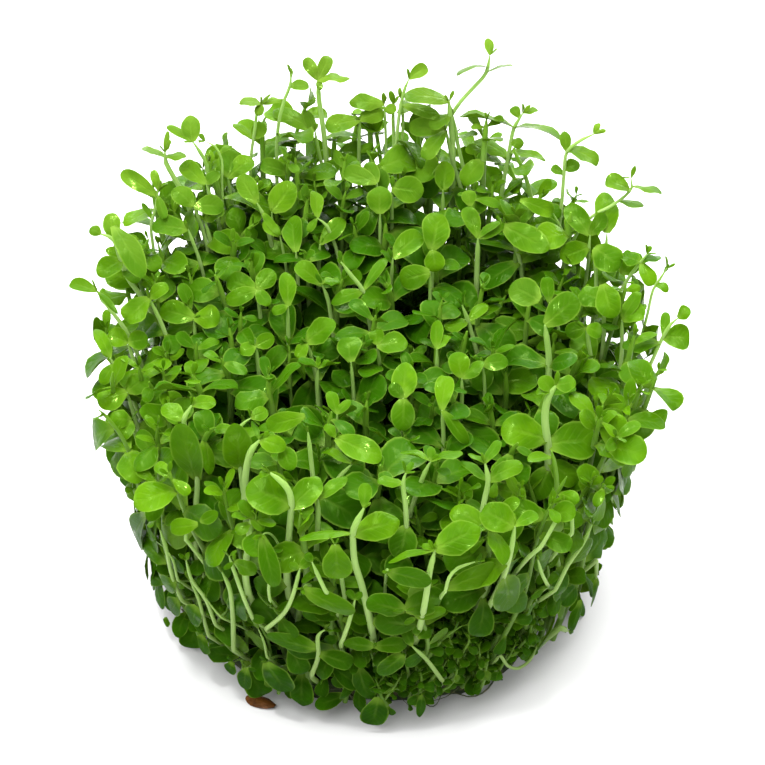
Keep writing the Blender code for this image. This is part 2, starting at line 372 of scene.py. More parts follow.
@dataclass(frozen=True)
class Sight:
    """The photograph's view: its camera, and where the things in its pixels stand."""

    axis: Vector
    target: Vector = Vector((1.0 * MM, 0.0, 29.3 * MM))
    distance: float = 0.36
    elevation: float = 40.0
    lens: float = 151.6
    sensor: float = 36.0
    pixels: int = 765
    search_start: float = -36 * MM
    search_steps: int = 400
    wall_inset: float = 0.4 * MM

    @property
    def back(self) -> Vector:
        """The direction from the clump to the camera."""
        angle = radians(self.elevation)
        return polar(-90, cos(angle), sin(angle))

    @property
    def up(self) -> Vector:
        """The direction that is up in the picture."""
        return self.back.cross(Vector((1, 0, 0)))

    @property
    def eye(self) -> Vector:
        """Where the camera stands."""
        return self.target + self.back * self.distance

    def ray(self, pixel: Pixel) -> tuple[Vector, Vector]:
        """Finds the line of sight through a pixel.

        Args:
            pixel: The pixel.

        Returns:
            Its start, from the cup's axis, and its direction.
        """
        middle = self.pixels / 2
        wide = self.sensor / self.lens / self.pixels
        side = Vector((1, 0, 0)) * ((pixel[0] - middle) * wide)
        rise = self.up * ((middle - pixel[1]) * wide)
        return self.eye - self.axis, side + rise - self.back

    def shows_at(self, point: Vector) -> tuple[float, float, float]:
        """Finds where a point shows.

        Args:
            point: The point.

        Returns:
            Its pixel, and its distance along the view.
        """
        way = point + self.axis - self.eye
        away = -way.dot(self.back)
        scale = self.lens * self.pixels / self.sensor / away
        middle = self.pixels / 2
        return middle + way.x * scale, middle - way.dot(self.up) * scale, away

    def at_depth(self, pixel: Pixel, depth: float) -> Vector:
        """Where the line of sight passes this depth, in metres behind the cup's axis."""
        start, way = self.ray(pixel)
        return start + way * ((depth - start.y) / way.y)

    def on_wall(self, pixel: Pixel) -> Vector:
        """Finds where the line of sight first meets the wall.

        Args:
            pixel: The pixel.

        Returns:
            A point just inside the wall.
        """
        point = self.at_depth(pixel, self.search_start)
        stride = self.ray(pixel)[1].normalized() * 0.1 * MM
        while off_axis(point) > CUP.wall(point.z) - self.wall_inset and point.y < 0:
            point = point + stride
        return point

    def on_clump(self, pixel: Pixel, lift: float) -> Vector:
        """Finds where the line of sight first meets the wall or the crown.

        Args:
            pixel: The pixel.
            lift: How much the crown is raised.

        Returns:
            The point.
        """
        point = self.at_depth(pixel, self.search_start)
        stride = self.ray(pixel)[1].normalized() * 0.2 * MM
        for _ in range(self.search_steps):
            under = point.z < CUP.crown(point.x, point.y) + lift
            if under and off_axis(point) < CUP.reach(point):
                break
            point = point + stride
        return point


class Kind(Enum):
    """The kinds of shoot in the clump."""

    RIM = "rim"
    WALL = "wall"
    CROWN = "crown"
    FINE = "fine"


@dataclass(frozen=True)
class Habit:
    """How a kind of shoot grows. Its pairs of leaves are counted from the tip down."""

    stem_radius: tuple[float, float]
    joints: tuple[float, ...]
    lengths: tuple[float, ...]
    rises: tuple[float, ...]
    bends: tuple[float, ...]


CROWN = Habit(
    stem_radius=(0.3, 0.5),
    joints=(0.0, 0.9, 2.7, 5.3, 8.6, 12.4, 16.6, 21.2),
    lengths=(1.3, 2.7, 4.1, 4.9, 5.1, 4.9, 4.6, 4.2),
    rises=(70, 44, 28, 16, 6, -2, -8, -14),
    bends=(0.2, 0.5, 0.6, 0.7, *[0.8] * 4),
)
WALL = Habit(
    stem_radius=(0.24, 0.38),
    joints=(0.0, 0.9, 2.8, 6.2, 9.6, 13.0, 16.2, 19.4, 22.6, 25.8, 29.0, 32.2),
    lengths=(1.3, 2.8, 4.3, 5.0, 5.2, 5.2, 5.1, 5.0, 4.9, 4.7, 4.5, 4.2),
    rises=(70, 42, 26, 16, 8, 4, 0, -4, -8, -12, -16, -20),
    bends=(0.2, 0.5, 0.6, *[0.7] * 9),
)
FINE = Habit(
    stem_radius=(0.13, 0.2),
    joints=(0.0, 0.4, 1.0, 1.9, 3.0, 4.2, 5.5, 7.0),
    lengths=(0.5, 0.8, 1.1, 1.35, 1.5, 1.5, 1.4, 1.3),
    rises=(70, 50, 35, 20, 10, 0, -5, -10),
    bends=(0.2, 0.4, 0.6, 0.7, *[0.8] * 4),
)
HABITS = {
    Kind.RIM: WALL,
    Kind.WALL: WALL,
    Kind.CROWN: CROWN,
    Kind.FINE: FINE,
}
SLENDER = (0.5, 0.62, 0.9)


@dataclass
class Leaf:
    """One leaf blade: its place, its three directions, its sizes and how it curls."""

    foot: Vector
    along: Vector
    normal: Vector
    length: float
    width: float
    thickness: float
    bend: float
    cup: float
    twist: float
    ruffle: float
    wedge: float
    fold: float = 0.0
    point_power: float = 0.5
    tint: float = 0.5
    age_and_centre_shade: float = 0.5
    press: float = 0.0

    def half_width(self, share: float) -> float:
        """Finds half the blade's width.

        Args:
            share: The share of its length, from its foot.

        Returns:
            The half width there.
        """
        blade = max(share - PETIOLE, 0.0) / (1 - PETIOLE)
        peak = self.wedge / (self.wedge + self.point_power * 2)
        full = peak ** (self.wedge / 2) * (1 - peak) ** self.point_power
        form = blade ** (self.wedge / 2) * max(1 - blade, 0.0) ** self.point_power / full
        return self.width / 2 * hypot(form, PETIOLE_WIDTH * (1 - share))

    def point(self, share: float, side: float) -> Vector:
        """Finds a point of the blade.

        Args:
            share: The share of its length, from its foot.
            side: Where it is across the blade, from -1 to 1.

        Returns:
            The point.
        """
        half = self.half_width(share)
        across = self.normal.cross(self.along)
        offset = side * half
        rise = self.cup * offset**2 / (self.width / 2) + self.fold * abs(offset)
        turn = self.twist * share
        out = offset * cos(turn) - rise * sin(turn)
        up = offset * sin(turn) + rise * cos(turn)
        angle = self.bend * share
        run = self.length * sin(angle) / self.bend
        drop = self.length * (1 - cos(angle)) / self.bend
        place = self.foot + self.along * (run + up * sin(angle))
        return place + self.normal * (up * cos(angle) - drop) + across * out


class SprigTree:
    """The node tree that turns the plan of a sprig into stems and leaf blades.

    The plan is a mesh: chains of edges for the stems, and one loose point for each leaf, which
    carries the leaf's directions, sizes and curl as attributes.
    """

    rows = 9
    columns = 4
    stem_sides = 7
    flat_height = 0.1
    merge_distance = 0.0021
    wall_give = 0.12
    floor_give = 0.02
    soft_edge = 1.2 * MM
    socket_kinds = {
        int: "NodeSocketInt",
        float: "NodeSocketFloat",
        Material: "NodeSocketMaterial",
    }
    maps = ("leaf_map", "tone_map", "side_map")

    def __init__(self, leaf: Material, stem: Material, half_box: Vector) -> None:
        """Builds the tree once, for every sprig.

        Args:
            leaf: The finish of the leaves.
            stem: The finish of the stems.
            half_box: Half the width and depth that the clump may take.
        """
        self.values = {
            "Blade rows": self.rows, "Blade columns": self.columns, "Stem sides": self.stem_sides,
            "Petiole share": PETIOLE, "Petiole width": PETIOLE_WIDTH,
            "Cup foot radius": CUP.foot_radius, "Cup rim radius": CUP.rim_radius,
            "Cup rim height": CUP.rim_height, "Lean over the rim": CUP.lean,
            "Half width": half_box.x, "Half depth": half_box.y,
            "Leaf finish": leaf, "Stem finish": stem,
        }
        self.group = bpy.data.node_groups.new("sprig", "GeometryNodeTree")
        face = self.group.interface
        face.new_socket(name="Plan", in_out="INPUT", socket_type="NodeSocketGeometry")
        face.new_socket(name="Sprig", in_out="OUTPUT", socket_type="NodeSocketGeometry")
        self.sockets: dict[str, str] = {}
        for name, value in self.values.items():
            kind = self.socket_kinds[type(value)]
            socket = face.new_socket(name=name, in_out="INPUT", socket_type=kind)
            self.sockets[name] = socket.identifier
        self.nodes = NodeTree(self.group)
        self.entry = self.nodes.add("GroupInput")
        self.build()

    def get(self, name: str) -> Field:
        """The tree's input of this name."""
        return self.nodes.take(self.entry, name)

    def read(self, name: str, kind: str = "FLOAT") -> Field:
        """A named attribute of the mesh."""
        return self.nodes.run("InputNamedAttribute", Name=name, data_type=kind)

    def parts(self, name: str) -> list[Field]:
        """The three parts of a named vector of the mesh."""
        return self.nodes.split(self.read(name, "FLOAT_VECTOR"))

    def turned(self, angle: Field) -> list[Field]:
        """The sine and the cosine of an angle."""
        return [self.nodes.sum(name, angle) for name in ("SINE", "COSINE")]

    def store(
        self, mesh: Field, values: dict[str, object], domain: str = "POINT", kind: str = "FLOAT"
    ) -> Field:
        """Writes named attributes.

        Args:
            mesh: The mesh.
            values: The values by name.
            domain: What they belong to.
            kind: Their type.

        Returns:
            The mesh with them.
        """
        for name, value in values.items():
            named = {"Geometry": mesh, "Name": name, "Value": value}
            mesh = self.nodes.run("StoreNamedAttribute", domain=domain, data_type=kind, **named)
        return mesh

    def join(self, *meshes: Field) -> Field:
        """Joins meshes.

        Args:
            meshes: The meshes.

        Returns:
            Them as one.
        """
        node = self.nodes.add("JoinGeometry")
        for mesh in meshes:
            self.nodes.feed(node.inputs[0], mesh)
        return self.nodes.take(node)

    def build(self) -> None:
        """Lays out the whole tree: stems, blades, their curl, the wall and the finishes."""
        n = self.nodes
        is_leaf = self.read("is_leaf", "BOOLEAN")
        plan = n.add("SeparateGeometry", self.get("Plan"), is_leaf)
        stems = self.stems(n.take(plan, "Inverted"))
        points = n.take(plan, "Selection")
        blades = n.run("InstanceOnPoints", Points=points, Instance=self.flat_blade())
        mesh = n.run("RealizeInstances", self.join(stems, blades))
        mesh = n.run("SetPosition", mesh, is_leaf, Position=self.curled_place())
        mesh = n.run("SetPosition", mesh, Position=self.place_in_cup())
        mesh = n.run("RealizeInstances", self.store_maps(mesh))
        mesh = n.run("SetMaterial", mesh, Material=self.get("Stem finish"))
        mesh = n.run("SetMaterial", mesh, is_leaf, Material=self.get("Leaf finish"))
        n.add("GroupOutput", mesh)

    def stems(self, plan: Field) -> Field:
        """Lays out the stems.

        Args:
            plan: The plan's edges.

        Returns:
            Tubes with closed ends along them.
        """
        n = self.nodes
        ring = n.run("CurvePrimitiveCircle", Resolution=self.get("Stem sides"), Radius=1.0)
        lines = n.run("MeshToCurve", plan)
        inputs = {"Profile_Curve": ring, "Scale": self.read("radius"), "Fill_Caps": True}
        return n.run("SetShadeSmooth", n.run("CurveToMesh", lines, **inputs))

    def flat_blade(self) -> Field:
        """Lays out the blade that each leaf is a copy of.

        Returns:
            A closed blade of unit length, flat, with a sharp margin.
        """
        n = self.nodes
        counts = self.get("Blade rows"), self.get("Blade columns")
        grid = n.run("MeshGrid", 1.0, 2.0, *counts)
        x, side, _ = n.split(n.run("InputPosition"))
        share = n.sum("SINE", (x + 0.5) * (pi / 2))
        ends = n.clamp(share * 10) * n.clamp((1 - share) * 12)
        lift = n.sum("SQRT", n.clamp(1 - side * side) * ends)
        edge = n.sum("LESS_THAN", lift, 0.001)
        mesh = self.store(grid, {"share": share, "side": side, "lift": lift, "edge": edge})
        share, side, lift = (self.read(name) for name in ("share", "side", "lift"))
        sheets = []
        for under, height in ((0.0, self.flat_height), (1.0, -self.flat_height)):
            half = self.store(mesh, {"under": under}, "FACE")
            place = n.vector(share, side * (1.001 - share), lift * height)
            half = n.run("SetPosition", half, Position=place)
            if under:
                half = self.store(n.run("FlipFaces", half), {"lift": lift * -1.0})
            sheets.append(half)
        closed = n.run("MergeByDistance", self.join(*sheets), Distance=self.merge_distance)
        margin = n.sum("GREATER_THAN", self.read("edge"), 0.9)
        rounded = n.run("SetShadeSmooth", closed)
        return n.run("SetShadeSmooth", rounded, margin, False, domain="EDGE")

    def curled_place(self) -> Field:
        """Lays out how a leaf's directions, sizes and curl shape its blade.

        Returns:
            Where each point of the blade goes.
        """
        n = self.nodes
        share, side, lift = (self.read(name) for name in ("share", "side", "lift"))
        length, width, thickness = self.parts("leaf_size")
        bend, cup, fold = self.parts("leaf_form")
        twist, ruffle, _ = self.parts("leaf_twist")
        wedge, power, _ = self.parts("leaf_edge")
        phase = self.parts("tone")[0] * 20.0
        petiole = self.get("Petiole share")
        blade = n.clamp((share - petiole) / (1 - petiole))
        wedge = wedge * 0.5
        peak = wedge / (wedge + power)
        full = (peak**wedge) * ((1 - peak) ** power)
        form = (blade**wedge) * ((1 - blade) ** power) / full
        neck = self.get("Petiole width") * (1 - share)
        half = n.sum("SQRT", form * form + neck * neck) * width * 0.5
        offset = side * half
        size = n.sum("ABSOLUTE", offset)
        wave = n.sum("SINE", share * 9.0 + phase) * ruffle * side * offset
        rise = cup * offset * offset / (width * 0.5) + fold * size + wave
        rise = rise + lift * thickness * 0.5
        turn_sine, turn_cosine = self.turned(twist * share)
        out = offset * turn_cosine - rise * turn_sine
        lifted = offset * turn_sine + rise * turn_cosine
        bend_sine, bend_cosine = self.turned(bend * share)
        run = length * bend_sine / bend + lifted * bend_sine
        climb = lifted * bend_cosine - length * (1 - bend_cosine) / bend
        foot, along, normal = (self.read(k, "FLOAT_VECTOR") for k in ("foot", "along", "normal"))
        across = n.sum("CROSS_PRODUCT", normal, along)
        return foot + along * run + across * out + normal * climb

    def place_in_cup(self) -> Field:
        """Lays out how the cup's wall and its floor hold the clump.

        Returns:
            Where each point goes.
        """
        n = self.nodes
        x, y, z = n.split(n.run("InputPosition"))
        share = n.clamp(z / self.get("Cup rim height"))
        foot, rim = self.get("Cup foot radius"), self.get("Cup rim radius")
        wall = foot + (rim - foot) * share
        top = y * (CUP.crown_slope / CUP.crown_radius) + CUP.crown_height
        free = n.ramp(z, top - CUP.free_depth, top)
        limit = wall + self.get("Lean over the rim") * free
        out = n.sum("SQRT", x * x + y * y) + 0.000001
        past = n.sum("MAXIMUM", out - limit, 0.0) * self.wall_give
        scale = (n.sum("MINIMUM", out, limit) + past) / out
        below = n.sum("MAXIMUM", 0.0 - z, 0.0) * self.floor_give
        x, y = self.hold(x * scale, "Half width"), self.hold(y * scale, "Half depth")
        return n.vector(x, y, n.sum("MAXIMUM", z, 0.0) + below)

    def hold(self, value: Field, name: str) -> Field:
        """Keeps a coordinate inside a limit, ever more slowly near it, so no face folds flat.

        Args:
            value: The coordinate.
            name: The tree's input for the limit.

        Returns:
            The coordinate inside it.
        """
        n = self.nodes
        soft = self.soft_edge
        size = n.sum("ABSOLUTE", value)
        over = n.sum("MAXIMUM", size - self.get(name) + soft, 0.0)
        held = size - over + (1 - n.sum("EXPONENT", over * (-1 / soft))) * soft
        return held * n.sum("SIGN", value)

    def store_maps(self, mesh: Field) -> Field:
        """Keeps each leaf's own coordinates and tones as UV maps, which the finishes read.

        Args:
            mesh: The mesh.

        Returns:
            The mesh with them.
        """
        n = self.nodes
        tint, age_and_centre_shade, press = self.parts("tone")
        leaf = n.vector(self.read("share"), self.read("side") * 0.5 + 0.5)
        values = (leaf, n.vector(tint, age_and_centre_shade), n.vector(self.read("under"), press))
        return self.store(mesh, dict(zip(self.maps, values)), "CORNER", "FLOAT2")

    def grow(self, name: str, plan: Mesh, finish: Material | None = None) -> Object:
        """Runs the tree on a plan.

        Args:
            name: The name of the finished piece.
            plan: The mesh of stems and leaf points.
            finish: A finish for the whole piece, in place of the leaf and stem finishes.

        Returns:
            The sprig as a plain mesh object with no modifier.
        """
        source = add_object(name + "_plan", plan)
        modifier = source.modifiers.new("sprig", "NODES")
        modifier.node_group = self.group
        values = dict(self.values)
        if finish:
            values |= {"Leaf finish": finish, "Stem finish": finish}
        for key, value in values.items():
            modifier[self.sockets[key]] = value
        graph = bpy.context.evaluated_depsgraph_get()
        mesh = bpy.data.meshes.new_from_object(source.evaluated_get(graph))
        bpy.data.objects.remove(source)
        bpy.data.meshes.remove(plan)
        kept = {"position", "material_index", "sharp_edge", "sharp_face", *self.maps}
        for attribute in list(mesh.attributes):
            if attribute.name not in kept and not attribute.name.startswith("."):
                mesh.attributes.remove(attribute)
        mesh.name = name
        return add_object(name, mesh)


@dataclass
class Stem:
    """The centre line of a stem, from its foot to its tip, and its radius along it."""

    points: list[Vector]
    radii: list[float]
    tint: float
    downs: list[float] = field(init=False)

    def __post_init__(self) -> None:
        """Measures how far each point is below the tip."""
        self.downs = [0.0]
        for upper, lower in zip(self.points[::-1], self.points[-2::-1]):
            self.downs.append(self.downs[-1] + (upper - lower).length)
        self.downs.reverse()

    @property
    def length(self) -> float:
        """The stem's length."""
        return self.downs[0]

    def at(self, down: float) -> tuple[Vector, Vector, float]:
        """Finds a place on the stem.

        Args:
            down: How far it is below the tip.

        Returns:
            The point, the stem's direction there and its radius.
        """
        last = len(self.points) - 2
        k = next((i for i in range(last + 1) if self.downs[i + 1] <= down), last)
        span = self.downs[k] - self.downs[k + 1]
        share = (self.downs[k] - down) / max(span, 1e-9)
        point = self.points[k].lerp(self.points[k + 1], share)
        radius = self.radii[k] + (self.radii[k + 1] - self.radii[k]) * share
        return point, (self.points[k + 1] - self.points[k]).normalized(), radius

    def tube(self) -> BVHTree:
        """Makes a search tree of a three-sided tube along the stem.

        Returns:
            The tree.
        """
        ends = list(zip(self.points, self.radii))
        points = [p + polar(120 * k, radius * 0.8) for p, radius in ends for k in range(3)]
        faces = []
        for k in range(0, len(points) - 3, 3):
            for a, b in ((k, k + 1), (k + 1, k + 2), (k + 2, k)):
                faces.append((a, b, b + 3, a + 3))
        return BVHTree.FromPolygons(points, faces)


class Thicket:
    """All stems and leaves so far, and how a new leaf finds room between them.

    Each try is a turn and a rise in degrees and a share of the leaf's size.
    """

    cell = 6 * MM
    mark_cell = 12
    stations = (0.14, 0.42, 0.72, 1.0)
    sides = (-1.0, 0.0, 1.0)
    sheet_faces = tuple((k, k + 1, k + 4, k + 3) for k in (0, 1, 3, 4, 6, 7))
    middle = 0.6
    closeness = 0.62
    watched = ((0.6, 0), (1, 0), (0.7, 1), (0.7, -1), (0.3, 0))
    in_front = 0.2 * MM
    hiding_counts = 2
    tries = (
        (0, 0, 1.0), (14, 4, 1.0), (-14, 4, 1.0), (0, 14, 1.0), (0, -14, 1.0), (26, 0, 0.96),
        (-26, 0, 0.96), (12, 26, 0.92), (-12, 26, 0.92), (16, -24, 0.9), (-16, -24, 0.9),
        (38, 14, 0.82), (-38, 14, 0.82), (0, 40, 0.8), (24, -8, 0.68), (-24, -8, 0.68),
    )

    def __init__(self, sight: Sight) -> None:
        """Starts empty.

        Args:
            sight: The view that what the photograph shows is kept free in.
        """
        self.sight = sight
        self.marks: dict[tuple, list] = defaultdict(list)
        self.leaves: dict[tuple, list] = defaultdict(list)
        self.stems: dict[tuple, set] = defaultdict(set)
        self.tubes: list[BVHTree] = []

    def key(self, point: Vector) -> tuple[int, int, int]:
        """The cell of space that a point is in."""
        return tuple(floor(c / self.cell) for c in point)

    def near(self, point: Vector) -> list[tuple[int, int, int]]:
        """The cell of a point and those around it."""
        x, y, z = self.key(point)
        return [(x + i, y + j, z + k) for i in AROUND for j in AROUND for k in AROUND]

    def add_stem(self, stem: Stem) -> int:
        """Registers a stem.

        Args:
            stem: The stem.

        Returns:
            Its number.
        """
        number = len(self.tubes)
        self.tubes.append(stem.tube())
        for point in stem.points:
            self.stems[self.key(point)].add(number)
        return number

    def sheet(self, leaf: Leaf) -> BVHTree:
        """A search tree of a leaf's blade."""
        points = [leaf.point(s, t) for s in self.stations for t in self.sides]
        return BVHTree.FromPolygons(points, self.sheet_faces)

    def mark(self, point: Vector, radius: float) -> None:
        """Keeps the view of a point free.

        Args:
            point: The point.
            radius: How many pixels around it stay free too.
        """
        x, y, away = self.sight.shows_at(point)
        reach = range(-int(radius // self.mark_cell) - 1, int(radius // self.mark_cell) + 2)
        column, row = int(x // self.mark_cell), int(y // self.mark_cell)
        for i in reach:
            for j in reach:
                self.marks[column + i, row + j].append((x, y, away, radius))

    def hides(self, leaf: Leaf) -> bool:
        """Tests a leaf against the marks.

        Args:
            leaf: The leaf.

        Returns:
            Whether it would stand in front of what the photograph shows.
        """
        for share, side in self.watched:
            x, y, away = self.sight.shows_at(leaf.point(share, side))
            key = (int(x // self.mark_cell), int(y // self.mark_cell))
            for other_x, other_y, other_away, radius in self.marks.get(key, ()):
                nearer = away < other_away - self.in_front
                if nearer and hypot(x - other_x, y - other_y) < radius:
                    return True
        return False

    def clashes(self, leaf: Leaf, tree: BVHTree, own: int) -> int:
        """Counts what a leaf would cut or hide.

        Args:
            leaf: The leaf.
            tree: The search tree of its blade.
            own: The number of its own stem, which doesn't count.

        Returns:
            How many other leaves and stems it would cut, and 2 more where it hides anything.
        """
        centre = leaf.point(self.middle, 0.0)
        count = self.hiding_counts * self.hides(leaf)
        near_stems = set()
        for cell in self.near(centre):
            near_stems |= self.stems.get(cell, set())
            for other_centre, other_size, other in self.leaves.get(cell, ()):
                reach = (leaf.length + other_size) * self.closeness
                if (centre - other_centre).length < reach:
                    count += bool(tree.overlap(other))
        return count + sum(bool(tree.overlap(self.tubes[k])) for k in near_stems - {own})

    def settle(self, shape: Callable[..., Leaf], own: int, most: int) -> Leaf | None:
        """Finds a place for a leaf and registers it there.

        Args:
            shape: Makes the leaf for one of the tries.
            own: The number of its stem.
            most: How many others it may cut at worst.

        Returns:
            The leaf that cuts the fewest others, or None if that is still too many.
        """
        best = None
        for chance in self.tries:
            leaf = shape(*chance)
            tree = self.sheet(leaf)
            count = self.clashes(leaf, tree, own)
            if best is None or count < best[0]:
                best = (count, leaf, tree)
            if not count:
                break
        count, leaf, tree = best
        if count > most:
            return None
        self.add_leaf(leaf, tree)
        return leaf

    def add_leaf(self, leaf: Leaf, tree: BVHTree) -> None:
        """Registers a leaf and the search tree of its blade."""
        centre = leaf.point(self.middle, 0.0)
        self.leaves[self.key(centre)].append((centre, leaf.length, tree))


@dataclass
class Shoot:
    """One shoot: the sprig it belongs to, its line and how it grows."""

    sprig: str
    kind: Kind
    foot: Vector
    bend: Vector
    tip: Vector
    turn: float
    scale: float = 1.0
    spacing: float = 1.0
    fullness: float = 0.8
    nod: Vector = field(default_factory=Vector)
    bare: float = 0.0

    def vary(self, dice: Random, most_nod: float) -> "Shoot":
        """Makes this shoot differ from the others in vigour, spacing, leaf shape and nod.

        Args:
            dice: What the differences are drawn from.
            most_nod: How far its tip may hang over.

        Returns:
            The shoot itself.
        """
        self.scale *= dice.uniform(0.84, 1.14)
        self.spacing *= dice.uniform(0.85, 1.2)
        self.fullness = dice.uniform(0.68, 0.9) - (0.14 if self.kind is Kind.WALL else 0)
        self.nod = polar(dice.uniform(0, 360), most_nod * dice.random() ** 2)
        return self

    def stem(self, dice: Random) -> Stem:
        """Draws the stem's line, with a slight wander, a nod near the tip and a thicker foot.

        Args:
            dice: What its thickness and its wander are drawn from.

        Returns:
            The stem.
        """
        rough = (self.tip - self.foot).length
        count = max(int(rough / STEM_STEP), 4)
        wide = dice.uniform(*HABITS[self.kind].stem_radius) * MM * (0.6 + 0.4 * self.scale)
        wander = dice.uniform(0.2, 0.8) * MM * min(rough / GROWN, 1.0)
        phase, phase_2 = dice.uniform(0, 6.28), dice.uniform(0, 6.28)
        points = []
        radii = []
        for k in range(count + 1):
            share = k / count
            rest = 1 - share
            point = self.foot * rest**2 + self.bend * (2 * rest * share) + self.tip * share**2
            ends = sin(pi * share) ** 0.6
            point.x += wander * ends * sin(phase + share * 9)
            point.y += wander * ends * sin(phase_2 + share * 7)
            over = max(share - NOD_START, 0.0) / (1 - NOD_START)
            point += self.nod * over**2 - UP * (self.nod.length * 0.4 * over**3)
            points.append(point)
            radii.append(wide * (1.08 - 0.34 * share**1.5) * tip_taper(rest * rough))
        return Stem(points, radii, dice.uniform(0, 0.45))


@dataclass(frozen=True)
class Mood:
    """How one leaf is set: its stem's radius, its heading, rise and roll, and what it does at the wall."""

    radius: float
    heading: float
    rise: float
    roll: float
    facing: Vector
    swing: float
    tilt: float
    turned_over: float


class Gardener:
    """Grows the stems and leaves of all shoots and keeps them apart."""

    foot_gap = 1.2 * MM
    lost_shares = (0, 0, 0.02, 0.06, 0.1, 0.14)
    swings = (0, 180, 180, 90, 90, -90, -90)
    corners = ((1, 0), (0.7, 1), (0.7, -1))
    wall_play = 0.2 * MM
    floor_gap = 0.35 * MM

    def __init__(self, dice: Random, sight: Sight) -> None:
        """Starts with bare ground.

        Args:
            dice: What everything is drawn from.
            sight: The photograph's view.
        """
        self.dice = dice
        self.sight = sight
        self.thicket = Thicket(sight)
        self.stems: dict[str, list[Stem]] = defaultdict(list)
        self.leaves: dict[str, list[Leaf]] = defaultdict(list)
        self.copied: list[tuple[Shoot, Stem, int]] = []

    def copy(self, seen: "SeenShoot", sprig: str, ground: float) -> None:
        """Puts a shoot of the photograph in its place, ahead of all others.

        Args:
            seen: The shoot.
            sprig: The main shoot whose sprig it belongs to.
            ground: The height of its foot.
        """
        stem, shown = seen.line(self.sight, ground)
        number = self.thicket.add_stem(stem)
        self.stems[sprig].append(stem)
        for point, down in zip(stem.points, stem.downs):
            if down < shown:
                self.thicket.mark(point, 2.4 if seen.on_wall else 3.5)
        bare = stem.length if seen.on_wall else shown + 1.5 * MM
        ends = (stem.points[0], stem.points[0], stem.points[-1])
        shoot = Shoot(sprig, Kind.CROWN, *ends, self.dice.uniform(0, 180), bare=bare)
        self.copied.append((shoot, stem, number))
        for blade, leaf in zip(seen.leaves, seen.blades(self.sight, stem, self.dice)):
            self.thicket.add_leaf(leaf, self.thicket.sheet(leaf))
            self.leaves[sprig].append(leaf)
            for share in (0.3, 0.6, 0.9):
                self.thicket.mark(leaf.point(share, 0), blade.width * 0.4)

    def grow(self, shoots: list[Shoot]) -> None:
        """Draws every stem first, then gives each its leaves, from the tips down.

        Args:
            shoots: The shoots that aren't in the photograph.
        """
        grown = list(self.copied)
        for shoot in shoots:
            stem = shoot.stem(self.dice)
            grown.append((shoot, stem, self.thicket.add_stem(stem)))
            self.stems[shoot.sprig].append(stem)
        for pair in range(max(len(habit.joints) for habit in HABITS.values())):
            for shoot, stem, number in grown:
                if pair < len(HABITS[shoot.kind].joints):
                    self.add_pair(shoot, stem, number, pair)

    def add_pair(self, shoot: Shoot, stem: Stem, number: int, pair: int) -> None:
        """Grows one pair of leaves, if the stem is long enough to have it.

        Args:
            shoot: The shoot.
            stem: Its stem.
            number: The stem's number in the thicket.
            pair: Which pair it is, counted from the tip.
        """
        dice = self.dice
        habit = HABITS[shoot.kind]
        down = habit.joints[pair] * MM * shoot.spacing
        down *= dice.uniform(0.93, 1.07)
        if (pair and down < shoot.bare) or down > stem.length - self.foot_gap:
            return
        point, tangent, radius = stem.at(down)
        small = 1 - 0.5 * low_patch(point) * (shoot.kind is not Kind.FINE)
        # painted shade: leaves towards the middle of the clump count as older, which darkens their green
        painted_centre_shade = 1 - smooth((off_axis(point) - 15 * MM) / (12 * MM))
        age_and_centre_shade = min(down / GROWN + 0.75 * painted_centre_shade, 1.0)
        turn = shoot.turn + 90 * pair + dice.uniform(-12, 12)
        for opposite in (0, 180):
            if dice.random() < self.lost_shares[min(pair, 5)]:
                continue
            size = exp(dice.gauss(0, 0.13))
            length = habit.lengths[pair] * MM * shoot.scale * size * small
            slender = SLENDER[min(pair, 2)]
            width = length * shoot.fullness * slender * dice.uniform(0.9, 1.1)
            model = Leaf(
                foot=point, along=tangent, normal=tangent, length=length, width=width,
                thickness=YOUNG_THICKNESS if pair < 2 else GROWN_THICKNESS,
                bend=habit.bends[pair] * dice.uniform(0.3, 1.7) + 0.04,
                cup=dice.gauss(0.1, 0.14), fold=dice.gauss(0.05, 0.1),
                twist=dice.gauss(0, 0.3), ruffle=abs(dice.gauss(0, 0.12)),
                wedge=dice.uniform(1.0, 2.1), point_power=dice.choice((0.44, 0.5, 0.56, 0.66)),
                tint=dice.random(), age_and_centre_shade=age_and_centre_shade,
            )
            mood = Mood(
                radius=radius, heading=turn + opposite, rise=habit.rises[pair] + dice.gauss(0, 15),
                roll=dice.gauss(0, 0.4), facing=self.facing(point, down),
                swing=dice.choice(self.swings) + dice.gauss(0, 28),
                tilt=dice.gauss(0, 0.34), turned_over=dice.random(),
            )
            leaf = self.thicket.settle(partial(self.pose, model, mood), number, int(pair < 4))
            if leaf:
                self.leaves[shoot.sprig].append(leaf)

    def pose(self, model: Leaf, mood: Mood, turned: float, tilted: float, scale: float) -> Leaf:
        """Sets a leaf on its stem as it would grow, then turns it to the light and off the wall.

        Args:
            model: The leaf's sizes and curl. It points along its stem, from the centre line.
            mood: How it is set.
            turned: How much further round the stem it points, in degrees.
            tilted: How much further it rises, in degrees.
            scale: The share of its size that it keeps.

        Returns:
            The leaf.
        """
        out = square_to(polar(mood.heading + turned), model.along)
        tilt = radians(mood.rise + tilted)
        leaf = replace(
            model,
            foot=model.foot + out * (mood.radius * 0.6),
            along=turn_to(out, model.along, tilt),
            normal=turn_to(model.along, out, -tilt),
            length=model.length * scale,
            width=model.width * scale,
        )
        normal = square_to(leaf.normal + mood.facing, leaf.along)
        leaf.normal = turn_to(normal, normal.cross(leaf.along), mood.roll)
        return self.press(leaf, mood)

